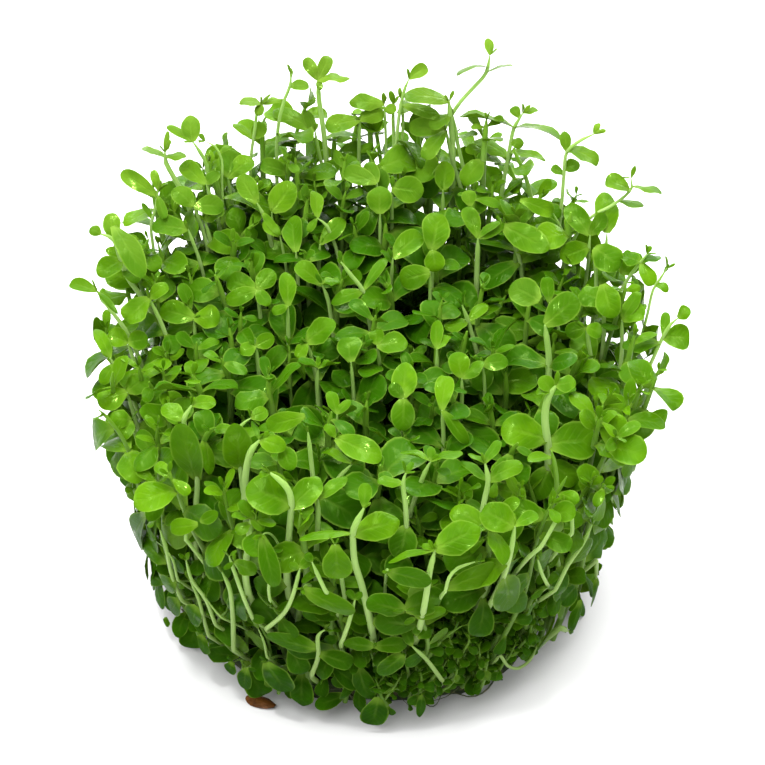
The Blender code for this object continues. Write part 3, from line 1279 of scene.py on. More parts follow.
    def facing(self, point: Vector, down: float) -> Vector:
        """What a leaf's upper side turns to: the light, and at the wall the outside.

        Args:
            point: Where the leaf's foot is.
            down: How far that is below the tip.

        Returns:
            The direction. The longer it is, the more it counts.
        """
        out = off_axis(point)
        share = smooth((out - 19 * MM) / (7 * MM)) * smooth(down / (9 * MM))
        outward = Vector((point.x, point.y, 0)) / max(out, 1e-6)
        return LIGHT * 0.42 + outward * (share * self.dice.uniform(0.1, 1.5))

    def press(self, leaf: Leaf, mood: Mood) -> Leaf:
        """Lays a leaf along the cup's wall where it would stand past it, and off the floor.

        Args:
            leaf: The leaf, which is changed.
            mood: How it is set.

        Returns:
            The same leaf.
        """
        spots = [leaf.point(*corner) for corner in self.corners]
        if max(off_axis(p) - CUP.reach(p) for p in spots) > self.wall_play:
            self.lay_on_wall(leaf, mood)
        low = min(leaf.point(*corner).z for corner in self.corners)
        if low < self.floor_gap:
            lift = (self.floor_gap - low) / leaf.length
            leaf.along = (leaf.along + UP * lift * 1.2).normalized()
            across = leaf.normal.cross(leaf.along)
            leaf.normal = leaf.along.cross(across).normalized()
        return leaf

    def lay_on_wall(self, leaf: Leaf, mood: Mood) -> None:
        """Turns a leaf into the wall's surface, up, down or sideways, and curls it to follow.

        Args:
            leaf: The leaf, which is changed.
            mood: How it is set.
        """
        out = off_axis(leaf.foot)
        outward = Vector((leaf.foot.x, leaf.foot.y, 0)) / out
        level = UP.cross(outward)
        flat = leaf.along - outward * leaf.along.dot(outward)
        if flat.length < 0.6:
            swing = radians(mood.swing)
            flat = flat * 0.5 + UP * cos(swing) + level * sin(swing)
        flat.normalize()
        room = max(CUP.reach(leaf.foot) - out - self.wall_play, 0.0)
        slope = min(room / leaf.length, 0.55)
        leaf.along = (flat * sqrt(1 - slope**2) + outward * slope).normalized()
        over = mood.turned_over < (0.65 if flat.z > 0.5 else 0.12)
        normal = square_to(-outward if over else outward, leaf.along)
        across = normal.cross(leaf.along)
        tilt = (mood.tilt + 0.4 * abs(across.z)) * copysign(1, across.z)
        leaf.normal = turn_to(normal, across, tilt)
        curl = 0.06 + 0.12 * abs(flat.dot(level)) + slope * 1.1
        leaf.bend = -curl if over else curl
        leaf.cup *= 0.5
        leaf.twist *= 0.5
        leaf.press = 1.0


@dataclass(frozen=True)
class SeenLeaf:
    """A leaf as the photograph shows it: pixels, and degrees from facing the view to facing up."""

    foot: Pixel
    tip: Pixel
    width: float
    lean: float = 0.0
    bend: float = 0.3

    def leaf(self, sight: Sight, foot: Vector, on_wall: bool, dice: Random) -> Leaf:
        """Puts the leaf in its place.

        Args:
            sight: The photograph's view.
            foot: Where it leaves its stem.
            on_wall: Whether it lies along the wall, which it then turns to follow.
            dice: What its small differences are drawn from.

        Returns:
            The leaf. Its foot and its tip show at their pixels.
        """
        side = dice.uniform(-0.3, 0.3)
        lean = self.lean + dice.uniform(8, 24)
        if on_wall:
            side += foot.x / CUP.rim_radius * 0.6
            lean = min(self.lean, -16) + dice.uniform(-6, 8)
        sideways = Vector((side, 0, 0))
        plane = turn_to(sight.back, sight.up, radians(min(lean, 28))) + sideways
        start, way = sight.ray(self.tip)
        chord = start + way * ((foot - start).dot(plane) / way.dot(plane)) - foot
        along = chord.normalized()
        normal = square_to(turn_to(sight.back, sight.up, radians(lean)) + sideways, along)
        half = self.bend / 2
        scale = sight.distance * sight.sensor / sight.lens / sight.pixels
        shown = sqrt(1 - normal.cross(along).dot(sight.back) ** 2)
        return Leaf(
            foot=foot,
            along=turn_to(along, normal, half),
            normal=turn_to(normal, along, -half),
            length=chord.length * half / sin(half),
            width=min(self.width * scale / max(shown, 0.25), chord.length * 0.95),
            thickness=GROWN_THICKNESS, bend=self.bend,
            cup=dice.uniform(-0.15, 0.35), fold=dice.uniform(-0.05, 0.15),
            twist=dice.gauss(0, 0.2), ruffle=dice.uniform(0.05, 0.3),
            wedge=dice.uniform(0.9, 1.5), point_power=dice.choice((0.42, 0.5, 0.6)),
            tint=dice.uniform(0.0, 0.9), age_and_centre_shade=dice.uniform(0.0, 0.6),
        )


@dataclass(frozen=True)
class SeenShoot:
    """A shoot as the photograph shows it: the pixels of its stem upwards, and its leaves.

    Its depth is in millimetres behind the cup's axis. With no depth it lies on the clump's
    outside. It may stand for one of the main shoots.
    """

    stem: tuple[Pixel, ...]
    leaves: tuple[SeenLeaf, ...]
    depth: float | None
    radius: float
    stands_for: str
    top_of_wall = 490

    @property
    def on_wall(self) -> bool:
        """Whether it lies on the cup's wall, which starts at a row of the picture."""
        return self.depth is None and self.stem[-1][1] > self.top_of_wall

    def depth_in(self, sight: Sight) -> float:
        """Its depth in metres: as stated, or where the crown is under its tip."""
        tip = self.stem[-1]
        return sight.on_clump(tip, 1.2 * MM).y if self.depth is None else self.depth * MM

    def place(self, sight: Sight, pixel: Pixel) -> Vector:
        """Where one of its pixels is."""
        on_wall = self.on_wall
        return sight.on_wall(pixel) if on_wall else sight.at_depth(pixel, self.depth_in(sight))

    def line(self, sight: Sight, ground: float) -> tuple[Stem, float]:
        """Draws the stem, from the floor up through its pixels.

        Args:
            sight: The photograph's view.
            ground: The height of the foot.

        Returns:
            The stem and the length of the part that the photograph shows.
        """
        seen = [self.place(sight, pixel) for pixel in self.stem]
        low = seen[0]
        level = Vector((low.x, low.y, 0))
        alone = len(seen) == 1
        way = (seen[min(1, len(seen) - 1)] - low).normalized()
        if alone or way.z < 0.3:
            way = UP
        if alone and self.on_wall:
            way = (level.normalized() + UP * 0.6).normalized()
        reach = max(low.z - ground, 1 * MM)
        if self.on_wall:
            inward = 1 - 0.38 * smooth(reach / (14 * MM))
            turn = low - way * min(reach * 0.5, 4 * MM) - level * 0.07
        else:
            out = max(off_axis(low), 1e-6)
            inward = 0.6 if low.y < -15 * MM else min(out * 0.8, 23.5 * MM) / out
            turn = low - way * min(reach * 0.4, 8 * MM)
        foot = Vector((low.x * inward, low.y * inward, ground))
        count = max(int(reach / MM), 3)
        points = []
        for t in (i / count for i in range(count)):
            points.append(foot * (1 - t) ** 2 + turn * (2 * t * (1 - t)) + low * t**2)
        first = low + (turn - low).normalized() * 1.5 * MM
        knots = [first, *seen, low + UP * MM if alone else seen[-1] * 2 - seen[-2]]
        for k in range(1, len(knots) - 2):
            count = max(int((knots[k + 1] - knots[k]).length / (0.7 * MM)), 1)
            points += [self.between(*knots[k - 1 : k + 3], i / count) for i in range(count)]
        points.append(seen[-1])
        last = len(points) - 1
        stem = Stem(points, [self.radius * MM * (1.1 - 0.3 * k / last) for k in range(last + 1)], 1.0)
        stem.radii = [r * tip_taper(down) for r, down in zip(stem.radii, stem.downs)]
        return stem, sum((b - a).length for a, b in zip(seen, seen[1:]))

    @staticmethod
    def between(a: Vector, b: Vector, c: Vector, d: Vector, t: float) -> Vector:
        """Finds a point on a smooth curve.

        Args:
            a: Where the curve comes from.
            b: Its start.
            c: Its end.
            d: Where it goes on to.
            t: The share of the way from its start to its end.

        Returns:
            The point.
        """
        rise = (c - a) * 0.5
        fall = (d - b) * 0.5
        ends = b * (1 - 3 * t**2 + 2 * t**3) + c * (3 * t**2 - 2 * t**3)
        return ends + rise * (t - 2 * t**2 + t**3) + fall * (t**3 - t**2)

    def blades(self, sight: Sight, stem: Stem, dice: Random) -> list[Leaf]:
        """Puts its leaves on its stem, each where that is nearest to its foot.

        Args:
            sight: The photograph's view.
            stem: Its stem.
            dice: What their small differences are drawn from.

        Returns:
            The leaves.
        """
        made = []
        for seen in self.leaves:
            wish = self.place(sight, seen.foot)
            near = min(stem.points, key=lambda p: (p - wish).length)
            foot = near if (near - wish).length < 1.2 * MM else wish
            made.append(seen.leaf(sight, foot, self.on_wall, dice))
        return made


def seen(
    stem: tuple[float, ...], *leaves: tuple[float, ...], depth: float | None = None,
    radius: float = 0.28, rim: int = 0,
) -> SeenShoot:
    """Makes a shoot from rows of numbers.

    Args:
        stem: The pixels of its stem upwards, x and y by turns.
        leaves: For each leaf the pixel of its foot and of its tip, its width, its lean and bend.
        depth: How far behind the cup's axis it stands, in millimetres.
        radius: The radius of its stem, in millimetres.
        rim: The number of the rim shoot that it stands for, or 0.

    Returns:
        The shoot.
    """
    pixels = tuple(zip(stem[::2], stem[1::2]))
    blades = tuple(SeenLeaf(row[:2], row[2:4], *row[4:]) for row in leaves)
    return SeenShoot(pixels, blades, depth, radius, f"rim_shoot_{rim:02d}" if rim else "")


SEEN_BACK = (
    seen((359, 162, 359, 140, 360, 120), (359, 119, 326, 129, 20, 10, 0.6), (361, 121, 383, 110, 20),
        (361, 152, 373, 144, 9), depth=25, radius=0.26),
    seen((386, 145, 385, 118, 384, 104), (386, 103, 349, 102, 19, 0, 0.5), depth=26, radius=0.2),
    seen((394, 142, 393, 118, 394, 104), (396, 97, 388, 114, 12), depth=26.5, radius=0.26),
    seen((402, 145, 403, 118, 401, 99), (402, 104, 440, 118, 13, 20, 0.6), depth=25.5, radius=0.22),
    seen((462, 192, 452, 158, 446, 130), (447, 128, 409, 127, 20, 0, 0.4), (444, 130, 424, 159, 17, 20),
        depth=23.5, radius=0.26),
    seen((469, 190, 459, 150, 453, 116), (456, 138, 478, 134, 6, 50), depth=24.5, radius=0.28),
    seen((443, 196, 443, 190), (443, 191, 446, 161, 21), depth=20),
    seen((392, 196, 392, 188), (391, 188, 424, 191, 28, -10), depth=16, radius=0.24),
    seen((380, 222, 380, 214), (380, 214, 380, 186, 26), depth=14, radius=0.24),
    seen((377, 190, 377, 183), (378, 183, 344, 171, 19), (378, 183, 366, 163, 18), depth=17),
    seen((322, 165, 318, 148, 315, 131), (315, 130, 273, 111, 17, 20, 0.8), (314, 128, 304, 110, 11),
        depth=25, radius=0.24),
    seen((230, 190, 228, 178), (228, 180, 233, 150, 26), (230, 176, 252, 158, 20), depth=19),
    seen((272, 222, 272, 212), (272, 212, 293, 182, 27, -10), depth=15, radius=0.24),
    seen((268, 232, 262, 212, 257, 203), (257, 204, 240, 175, 21), (262, 214, 280, 235, 8), depth=14),
    seen((333, 240, 327, 226, 317, 218), (317, 220, 314, 191, 15), (318, 219, 308, 232, 8), depth=13,
        radius=0.24),
    seen((222, 178, 222, 160, 215, 146, 205, 141), (206, 141, 200, 134, 5), (221, 152, 232, 146, 6, 20),
        depth=17, radius=0.15),
    seen((452, 114, 461, 101, 473, 88, 486, 73, 490, 55), (486, 69, 457, 76, 6, 66, 1.1),
        (488, 71, 513, 65, 6, 66, 0.5), (489, 57, 488, 38, 10, 5, 0.2), depth=25.5, rim=6),
    seen((323, 128, 319, 100, 318, 80), (318, 81, 305, 58, 13), (320, 81, 329, 56, 14),
        (321, 77, 350, 79, 11, 30, 0.5), (319, 79, 321, 90, 7), depth=26, radius=0.36, rim=8),
    seen((281, 112, 285, 98, 290, 86, 291, 74), (291, 87, 309, 86, 13), (291, 80, 291, 68, 4), depth=25,
        radius=0.24, rim=9),
    seen((252, 148, 255, 128, 257, 112, 261, 104), (261, 104, 239, 104, 11, 30, 0.8),
        (258, 103, 258, 116, 10), (262, 104, 282, 100, 8, 30, 0.5), (254, 141, 233, 124, 9, 20),
        (255, 140, 264, 123, 16), depth=23, radius=0.22),
    seen((402, 100, 405, 88, 409, 79), (409, 80, 427, 66, 14), depth=25, radius=0.24),
    seen((452, 135, 450, 115, 449, 101), (450, 101, 404, 97, 20, 15, 0.6), (452, 118, 430, 128, 16, 20),
        depth=24, radius=0.4, rim=7),
    seen((506, 168, 510, 147, 514, 128, 523, 113), (514, 127, 459, 117, 6, 68, 0.7),
        (516, 129, 562, 141, 7, 66, 1), (521, 118, 512, 107, 11, 10), (523, 112, 538, 110, 8, 20),
        (511, 142, 523, 146, 11, 20), (507, 158, 474, 141, 14, 30, 0.7),
        (508, 152, 546, 161, 9, 40, 0.6), depth=23),
    seen((562, 200, 564, 175, 567, 152, 583, 139, 594, 134), (567, 150, 564, 131, 12),
        (569, 151, 597, 166, 15, 35, 1.3), (594, 134, 599, 123, 7), (564, 170, 580, 164, 16),
        (562, 176, 551, 168, 9, 20), depth=19, radius=0.25, rim=5),
    seen((599, 212, 611, 206, 625, 196, 632, 187, 631, 178), (632, 187, 662, 193, 7, 50),
        (622, 200, 644, 206, 8, 50), (628, 190, 605, 182, 14, 25, 0.9), depth=14, radius=0.22, rim=4),
)

SEEN_SIDES = (
    seen((131, 352, 128, 343), (128, 342, 108, 334, 20), (128, 342, 148, 338, 22), depth=-2),
    seen((130, 402, 127, 392), (127, 391, 98, 404, 25), (127, 391, 148, 376, 22), depth=-7),
    seen((134, 430, 131, 420), (131, 420, 110, 418, 22), (130, 421, 122, 440, 16), depth=-10),
    seen((212, 200, 206, 184), (204, 181, 182, 163, 19), (206, 183, 220, 172, 12), depth=16),
    seen((200, 222, 194, 206), (193, 205, 174, 188, 21), (196, 206, 224, 206, 21, 10), depth=13),
    seen((213, 262, 210, 240, 205, 221), (205, 222, 224, 208, 16), depth=13, radius=0.3),
    seen((196, 250, 188, 229), (187, 228, 152, 226, 21), depth=10, radius=0.24),
    seen((158, 316, 149, 298), (148, 297, 127, 322, 25), (150, 297, 168, 285, 14), depth=1),
    seen((560, 226, 553, 213), (520, 200, 553, 213, 17), depth=15, radius=0.2),
    seen((588, 262, 590, 235), (588, 233, 567, 205, 22), (591, 236, 605, 214, 16),
        (592, 244, 560, 258, 24, -10), depth=11.5, radius=0.24),
    seen((606, 250, 607, 233), (606, 232, 605, 192, 25, 5), depth=12, radius=0.24),
    seen((596, 275, 594, 248), (594, 248, 620, 268, 30), (621, 274, 641, 254, 21), depth=9),
    seen((604, 330, 604, 302), (604, 301, 580, 292, 27), (603, 284, 614, 318, 26),
        (607, 306, 621, 292, 10), depth=3),
    seen((622, 345, 622, 320), (621, 319, 644, 307, 21), (628, 318, 640, 292, 15), depth=1),
    seen((590, 352, 586, 327), (585, 327, 565, 333, 17), (588, 326, 602, 334, 16), depth=-1),
    seen((553, 310, 549, 302), (549, 302, 546, 277, 14), depth=3, radius=0.22),
    seen((208, 182, 207, 165, 200, 152, 193, 142), (194, 143, 190, 115, 20),
        (192, 134, 167, 126, 9, 30), depth=20, rim=10),
    seen((182, 192, 173, 176, 166, 163, 165, 152), (166, 160, 141, 149, 8, 35),
        (167, 156, 186, 155, 11, 30), (166, 152, 168, 131, 6), depth=17, radius=0.36, rim=11),
    seen((153, 246, 151, 226, 156, 207, 158, 190), (158, 196, 121, 172, 17), (158, 198, 165, 219, 10),
        (156, 190, 153, 170, 9), (151, 222, 142, 203, 6, 20), depth=13, radius=0.22, rim=12),
    seen((143, 298, 128, 278, 121, 260, 114, 240, 101, 234), (113, 226, 143, 278, 23, 10, 0.5),
        (119, 240, 111, 213, 18), (103, 234, 90, 228, 20, 0, 0.2), (126, 262, 98, 276, 22, 10),
        (117, 238, 134, 241, 7, 40), depth=6, radius=0.34, rim=13),
    seen((120, 322, 107, 305, 97, 291), (99, 290, 70, 283, 14, 10), (100, 290, 118, 314, 6, 50),
        depth=0),
    seen((126, 385, 118, 370, 110, 358), (111, 359, 95, 329, 13, 15, 1), (113, 362, 101, 384, 14),
        depth=-4),
    seen((621, 290, 632, 273, 641, 262, 647, 254), (641, 263, 621, 256, 17, 20),
        (642, 262, 662, 258, 11, 30, 0.7), (642, 265, 652, 286, 17), (646, 256, 651, 246, 5), depth=8,
        radius=0.24, rim=3),
    seen((648, 312, 653, 290, 660, 279, 667, 268), (654, 286, 668, 292, 10, 20, 1.3),
        (665, 271, 669, 264, 4), depth=5, radius=0.2, rim=2),
    seen((648, 370, 657, 350, 663, 337, 671, 324, 678, 318), (664, 339, 692, 339, 26, 5, 0.2),
        (676, 319, 692, 309, 18, 0, 0.5), (659, 338, 666, 312, 10, 20), (661, 340, 622, 347, 14, 20),
        depth=-1, radius=0.26, rim=1),
)

SEEN_CROWN = (
    seen((476, 300, 477, 268, 478, 238), (480, 236, 466, 207, 17, 10), (480, 234, 500, 222, 8, 30),
        (481, 238, 505, 224, 12), (470, 206, 468, 190, 15), radius=0.36),
    seen((512, 240, 503, 226), (504, 222, 549, 250, 28, 0, 0.4), (502, 228, 490, 232, 8)),
    seen((432, 262, 432, 250), (432, 248, 437, 213, 29, 0, 0.4), (430, 252, 436, 272, 28, -20)),
    seen((391, 280, 393, 258), (393, 257, 421, 233, 23), (391, 262, 382, 250, 8, 40)),
    seen((288, 318, 288, 306), (288, 304, 286, 272, 18), (290, 308, 272, 313, 10)),
    seen((282, 245, 280, 236), (280, 236, 263, 222, 13), radius=0.2),
    seen((310, 352, 307, 343), (306, 343, 335, 321, 23), (308, 344, 297, 358, 14)),
    seen((478, 357, 473, 338, 468, 321, 462, 305), (468, 322, 445, 329, 14, 30),
        (469, 320, 487, 304, 13, 20), (470, 321, 502, 305, 8, 40), radius=0.3),
    seen((403, 445, 403, 418, 403, 398), (402, 398, 406, 362, 25), (401, 400, 403, 431, 24, -10),
        (399, 398, 390, 384, 13), radius=0.34),
    seen((378, 352, 377, 345), (377, 346, 377, 329, 18), (380, 345, 408, 344, 22, 10)),
    seen((352, 372, 351, 362), (351, 362, 349, 337, 25), radius=0.24),
    seen((462, 390, 462, 378), (462, 378, 456, 352, 21), (463, 378, 484, 362, 14)),
    seen((484, 376, 483, 365), (484, 365, 508, 361, 17), radius=0.22),
    seen((337, 425, 337, 414), (337, 413, 329, 391, 12, 10), (338, 412, 350, 400, 9)),
    seen((443, 425, 442, 410), (443, 411, 468, 444, 13, -20, 0.5), (441, 409, 446, 376, 19)),
    seen((340, 482, 339, 456, 336, 438), (337, 438, 381, 461, 26, 0, 0.5), (335, 438, 326, 424, 10),
        radius=0.36),
    seen((430, 290, 430, 272), (430, 271, 400, 281, 25, -20), radius=0.24),
    seen((437, 365, 437, 349), (437, 348, 437, 320, 14, 20), (438, 348, 450, 336, 9, 30)),
    seen((196, 350, 194, 318), (193, 315, 160, 309, 24), (195, 316, 220, 317, 24), depth=2),
    seen((262, 330, 257, 290), (256, 288, 227, 279, 22), (256, 291, 226, 302, 18),
        (258, 288, 273, 270, 20), (259, 292, 269, 306, 14), depth=5),
    seen((299, 300, 296, 252), (296, 252, 293, 216, 23, 5), depth=10),
    seen((319, 262, 320, 244), (320, 244, 344, 219, 18), depth=12, radius=0.3),
    seen((331, 318, 328, 300, 322, 284), (323, 285, 296, 264, 19), (323, 286, 340, 284, 9, 40),
        depth=5),
    seen((368, 315, 363, 291, 351, 275, 341, 262), (363, 290, 386, 258, 11, 20),
        (361, 290, 331, 304, 14, 10, 0.8), (343, 264, 338, 257, 5), depth=5),
    seen((318, 400, 317, 384, 318, 368), (317, 368, 297, 362, 6, 58, 0.5),
        (319, 368, 341, 363, 6, 58, 0.4), (318, 368, 318, 360, 5), depth=-6),
    seen((258, 365, 256, 346), (255, 346, 240, 353, 19), (257, 345, 274, 336, 16), depth=-3,
        radius=0.3),
    seen((548, 350, 545, 325), (495, 384, 538, 380, 28), (545, 325, 577, 296, 28),
        (540, 300, 510, 286, 28), depth=-4, radius=0.42),
)

SEEN_FRONT = (
    seen((337, 560, 335, 545), (335, 545, 339, 588, 28, -25, 0.5), radius=0.26),
    seen((186, 540, 187, 527), (198, 524, 170, 528, 17, 10), (200, 522, 218, 512, 12), radius=0.26),
    seen((344, 472, 352, 464), (353, 463, 376, 450, 9, 40, 0.6), (350, 464, 322, 452, 10, 40, 0.5),
        depth=-18.5, radius=0.3),
    seen((196, 545, 196, 510, 197, 475, 189, 440, 184, 420, 192, 405),
        (197, 479, 181, 423, 30, -60, 0.4), (192, 406, 216, 402, 14, 20, 0.5),
        (184, 421, 163, 405, 18, 20), depth=-18, radius=0.34),
    seen((241, 478, 238, 440, 241, 426, 251, 418), (241, 471, 234, 423, 30, -60, 0.4),
        (251, 419, 268, 411, 14), depth=-19, radius=0.26),
    seen((245, 500, 245, 478, 250, 453, 260, 440), (260, 440, 252, 421, 6, 10),
        (262, 440, 286, 448, 17, 10), (282, 446, 293, 470, 19), depth=-21, radius=0.45),
    seen((312, 470, 308, 432), (305, 416, 266, 426, 19), depth=-19, radius=0.3),
    seen((287, 565, 289, 535, 291, 500, 284, 484, 270, 473), (288, 506, 246, 487, 40, -5, 0.4),
        (291, 508, 321, 480, 24, 10), (271, 474, 259, 477, 6, 30), depth=-25.5, radius=0.42),
    seen((316, 558, 318, 520, 318, 499), (318, 499, 347, 477, 13, 20), (318, 499, 314, 476, 12),
        depth=-24, radius=0.34),
    seen((246, 560, 249, 538, 251, 518), (250, 516, 231, 516, 7, 30), (251, 524, 236, 533, 10, 20),
        (252, 520, 264, 530, 10), depth=-26, radius=0.42),
    seen((367, 607, 362, 586, 355, 563, 353, 540, 354, 528, 364, 508),
        (355, 532, 400, 521, 27, 10, 0.5), (351, 531, 299, 540, 8, 45, 0.5),
        (363, 509, 366, 483, 13, 0, 0.2), (365, 607, 354, 590, 7), depth=-28, radius=0.42, rim=17),
    seen((407, 545, 406, 510, 403, 484, 406, 473), (403, 481, 377, 481, 9, 35),
        (405, 474, 413, 462, 6, 10), (407, 527, 399, 560, 28, -15, 0.4), depth=-24, radius=0.33),
    seen((427, 590, 430, 570, 435, 550), (436, 548, 480, 527, 31, 0, 0.4),
        (433, 551, 388, 564, 9, 30, 0.5), (433, 549, 422, 545, 7), depth=-29.8, radius=0.38, rim=18),
    seen((418, 490, 425, 472, 431, 461), (429, 463, 400, 453, 6, 60, 0.5),
        (433, 462, 463, 454, 6, 60, 0.5), (431, 461, 431, 446, 8, 10), depth=-20, radius=0.32),
    seen((478, 535, 484, 502, 488, 481, 485, 463), (486, 480, 461, 461, 9, 35, 0.4),
        (489, 480, 522, 463, 17, 20, 0.6), (486, 463, 500, 441, 10, 30), (484, 461, 468, 454, 6, 40),
        depth=-22.5, radius=0.36),
    seen((512, 545, 515, 526), (517, 523, 482, 510, 30, 0, 0.4), (518, 524, 538, 514, 12, 20),
        depth=-27.3, radius=0.35),
    seen((549, 480, 548, 445, 545, 418, 548, 398, 556, 386), (557, 386, 576, 382, 20, 10),
        (554, 389, 540, 377, 15), (551, 393, 536, 392, 9, 30), (553, 445, 596, 440, 37, 0, 0.4),
        (546, 442, 501, 428, 34, 5, 0.4), (546, 466, 536, 500, 27, -15, 0.4),
        (556, 462, 576, 484, 22, -10), depth=-14, radius=0.5),
)

SEEN_WALL = (
    seen((405, 610), (403, 609, 366, 602, 25), (407, 609, 443, 592, 27), radius=0.2),
    seen((416, 617), (417, 617, 446, 610, 14), radius=0.15),
    seen((388, 573), (388, 573, 431, 588, 25), radius=0.2),
    seen((303, 588), (302, 587, 354, 617, 23, -10, 0.4), radius=0.2),
    seen((403, 653), (403, 653, 380, 684, 23, -20), radius=0.2),
    seen((267, 662), (267, 662, 282, 701, 31, -20, 0.3), radius=0.2),
    seen((222, 618, 213, 608, 206, 598), radius=0.14),
    seen((267, 657, 264, 642, 258, 628), (250, 617, 265, 620, 9), radius=0.16),
    seen((178, 580, 173, 560, 165, 548), radius=0.18),
    seen((176, 582), (175, 583, 152, 590, 22), radius=0.15),
    seen((179, 600), (178, 600, 160, 617, 22), (166, 617, 167, 627, 10), radius=0.15),
    seen((197, 606), (196, 606, 180, 632, 25), radius=0.15),
    seen((203, 635), (203, 635, 194, 660, 21), radius=0.15),
    seen((233, 662), (233, 662, 224, 677, 15), radius=0.15),
    seen((234, 562), (234, 563, 257, 571, 15), radius=0.15),
    seen((262, 535), (262, 535, 275, 590, 20, -10), radius=0.15),
    seen((267, 628, 284, 613, 293, 595, 300, 568), (300, 566, 289, 564, 8), (302, 566, 313, 556, 10),
        radius=0.27),
    seen((326, 592, 319, 578, 312, 562), (312, 562, 306, 553, 8)),
    seen((270, 600, 269, 584, 277, 566), radius=0.2),
    seen((254, 620, 246, 603, 238, 582, 229, 556), radius=0.26),
    seen((234, 650, 233, 620, 230, 590, 222, 572), radius=0.29),
    seen((216, 625, 206, 600, 192, 580, 186, 560), radius=0.23),
    seen((182, 600, 172, 575, 166, 548, 160, 530), radius=0.27),
    seen((209, 636, 203, 615, 198, 597, 190, 580), radius=0.23),
    seen((342, 642, 349, 622, 355, 600), (355, 601, 347, 590, 8), (356, 600, 362, 592, 7)),
    seen((312, 674, 318, 657, 318, 636, 325, 630), (316, 650, 265, 637, 20, -20),
        (320, 655, 353, 664, 19, -20), radius=0.29),
    seen((374, 646), (373, 645, 343, 644, 17, -10), (375, 645, 407, 643, 17, -10), radius=0.21),
    seen((378, 697), (378, 697, 373, 727, 29, -40)),
    seen((442, 680, 427, 660, 412, 646), (414, 640, 404, 627, 11), (418, 638, 431, 629, 12),
        (416, 636, 417, 620, 9), radius=0.27),
    seen((445, 592, 449, 578, 458, 568, 475, 562), (452, 588, 497, 567, 23, -15),
        (473, 563, 480, 562, 4), radius=0.23),
    seen((540, 548, 552, 528, 564, 505), radius=0.27),
    seen((548, 586, 542, 574, 538, 560), radius=0.24),
    seen((572, 533, 572, 520, 573, 504), radius=0.27),
    seen((555, 590, 568, 565, 582, 545, 592, 525), radius=0.26),
    seen((500, 655, 508, 666, 519, 668, 530, 660, 537, 647), radius=0.21),
    seen((560, 628, 568, 631), radius=0.38),
    seen((596, 560, 596, 578), (596, 578, 597, 608, 13, -40), (580, 600, 573, 631, 16, -40)),
    seen((247, 668), (247, 668, 240, 692, 18, -40)),
    seen((421, 693), (421, 693, 421, 722, 10, -40)),
)


@dataclass(frozen=True)
class RimTip:
    """Where a shoot at the wall ends: its bearing, its distance from the axis, its height."""

    bearing: float
    reach: float
    height: float


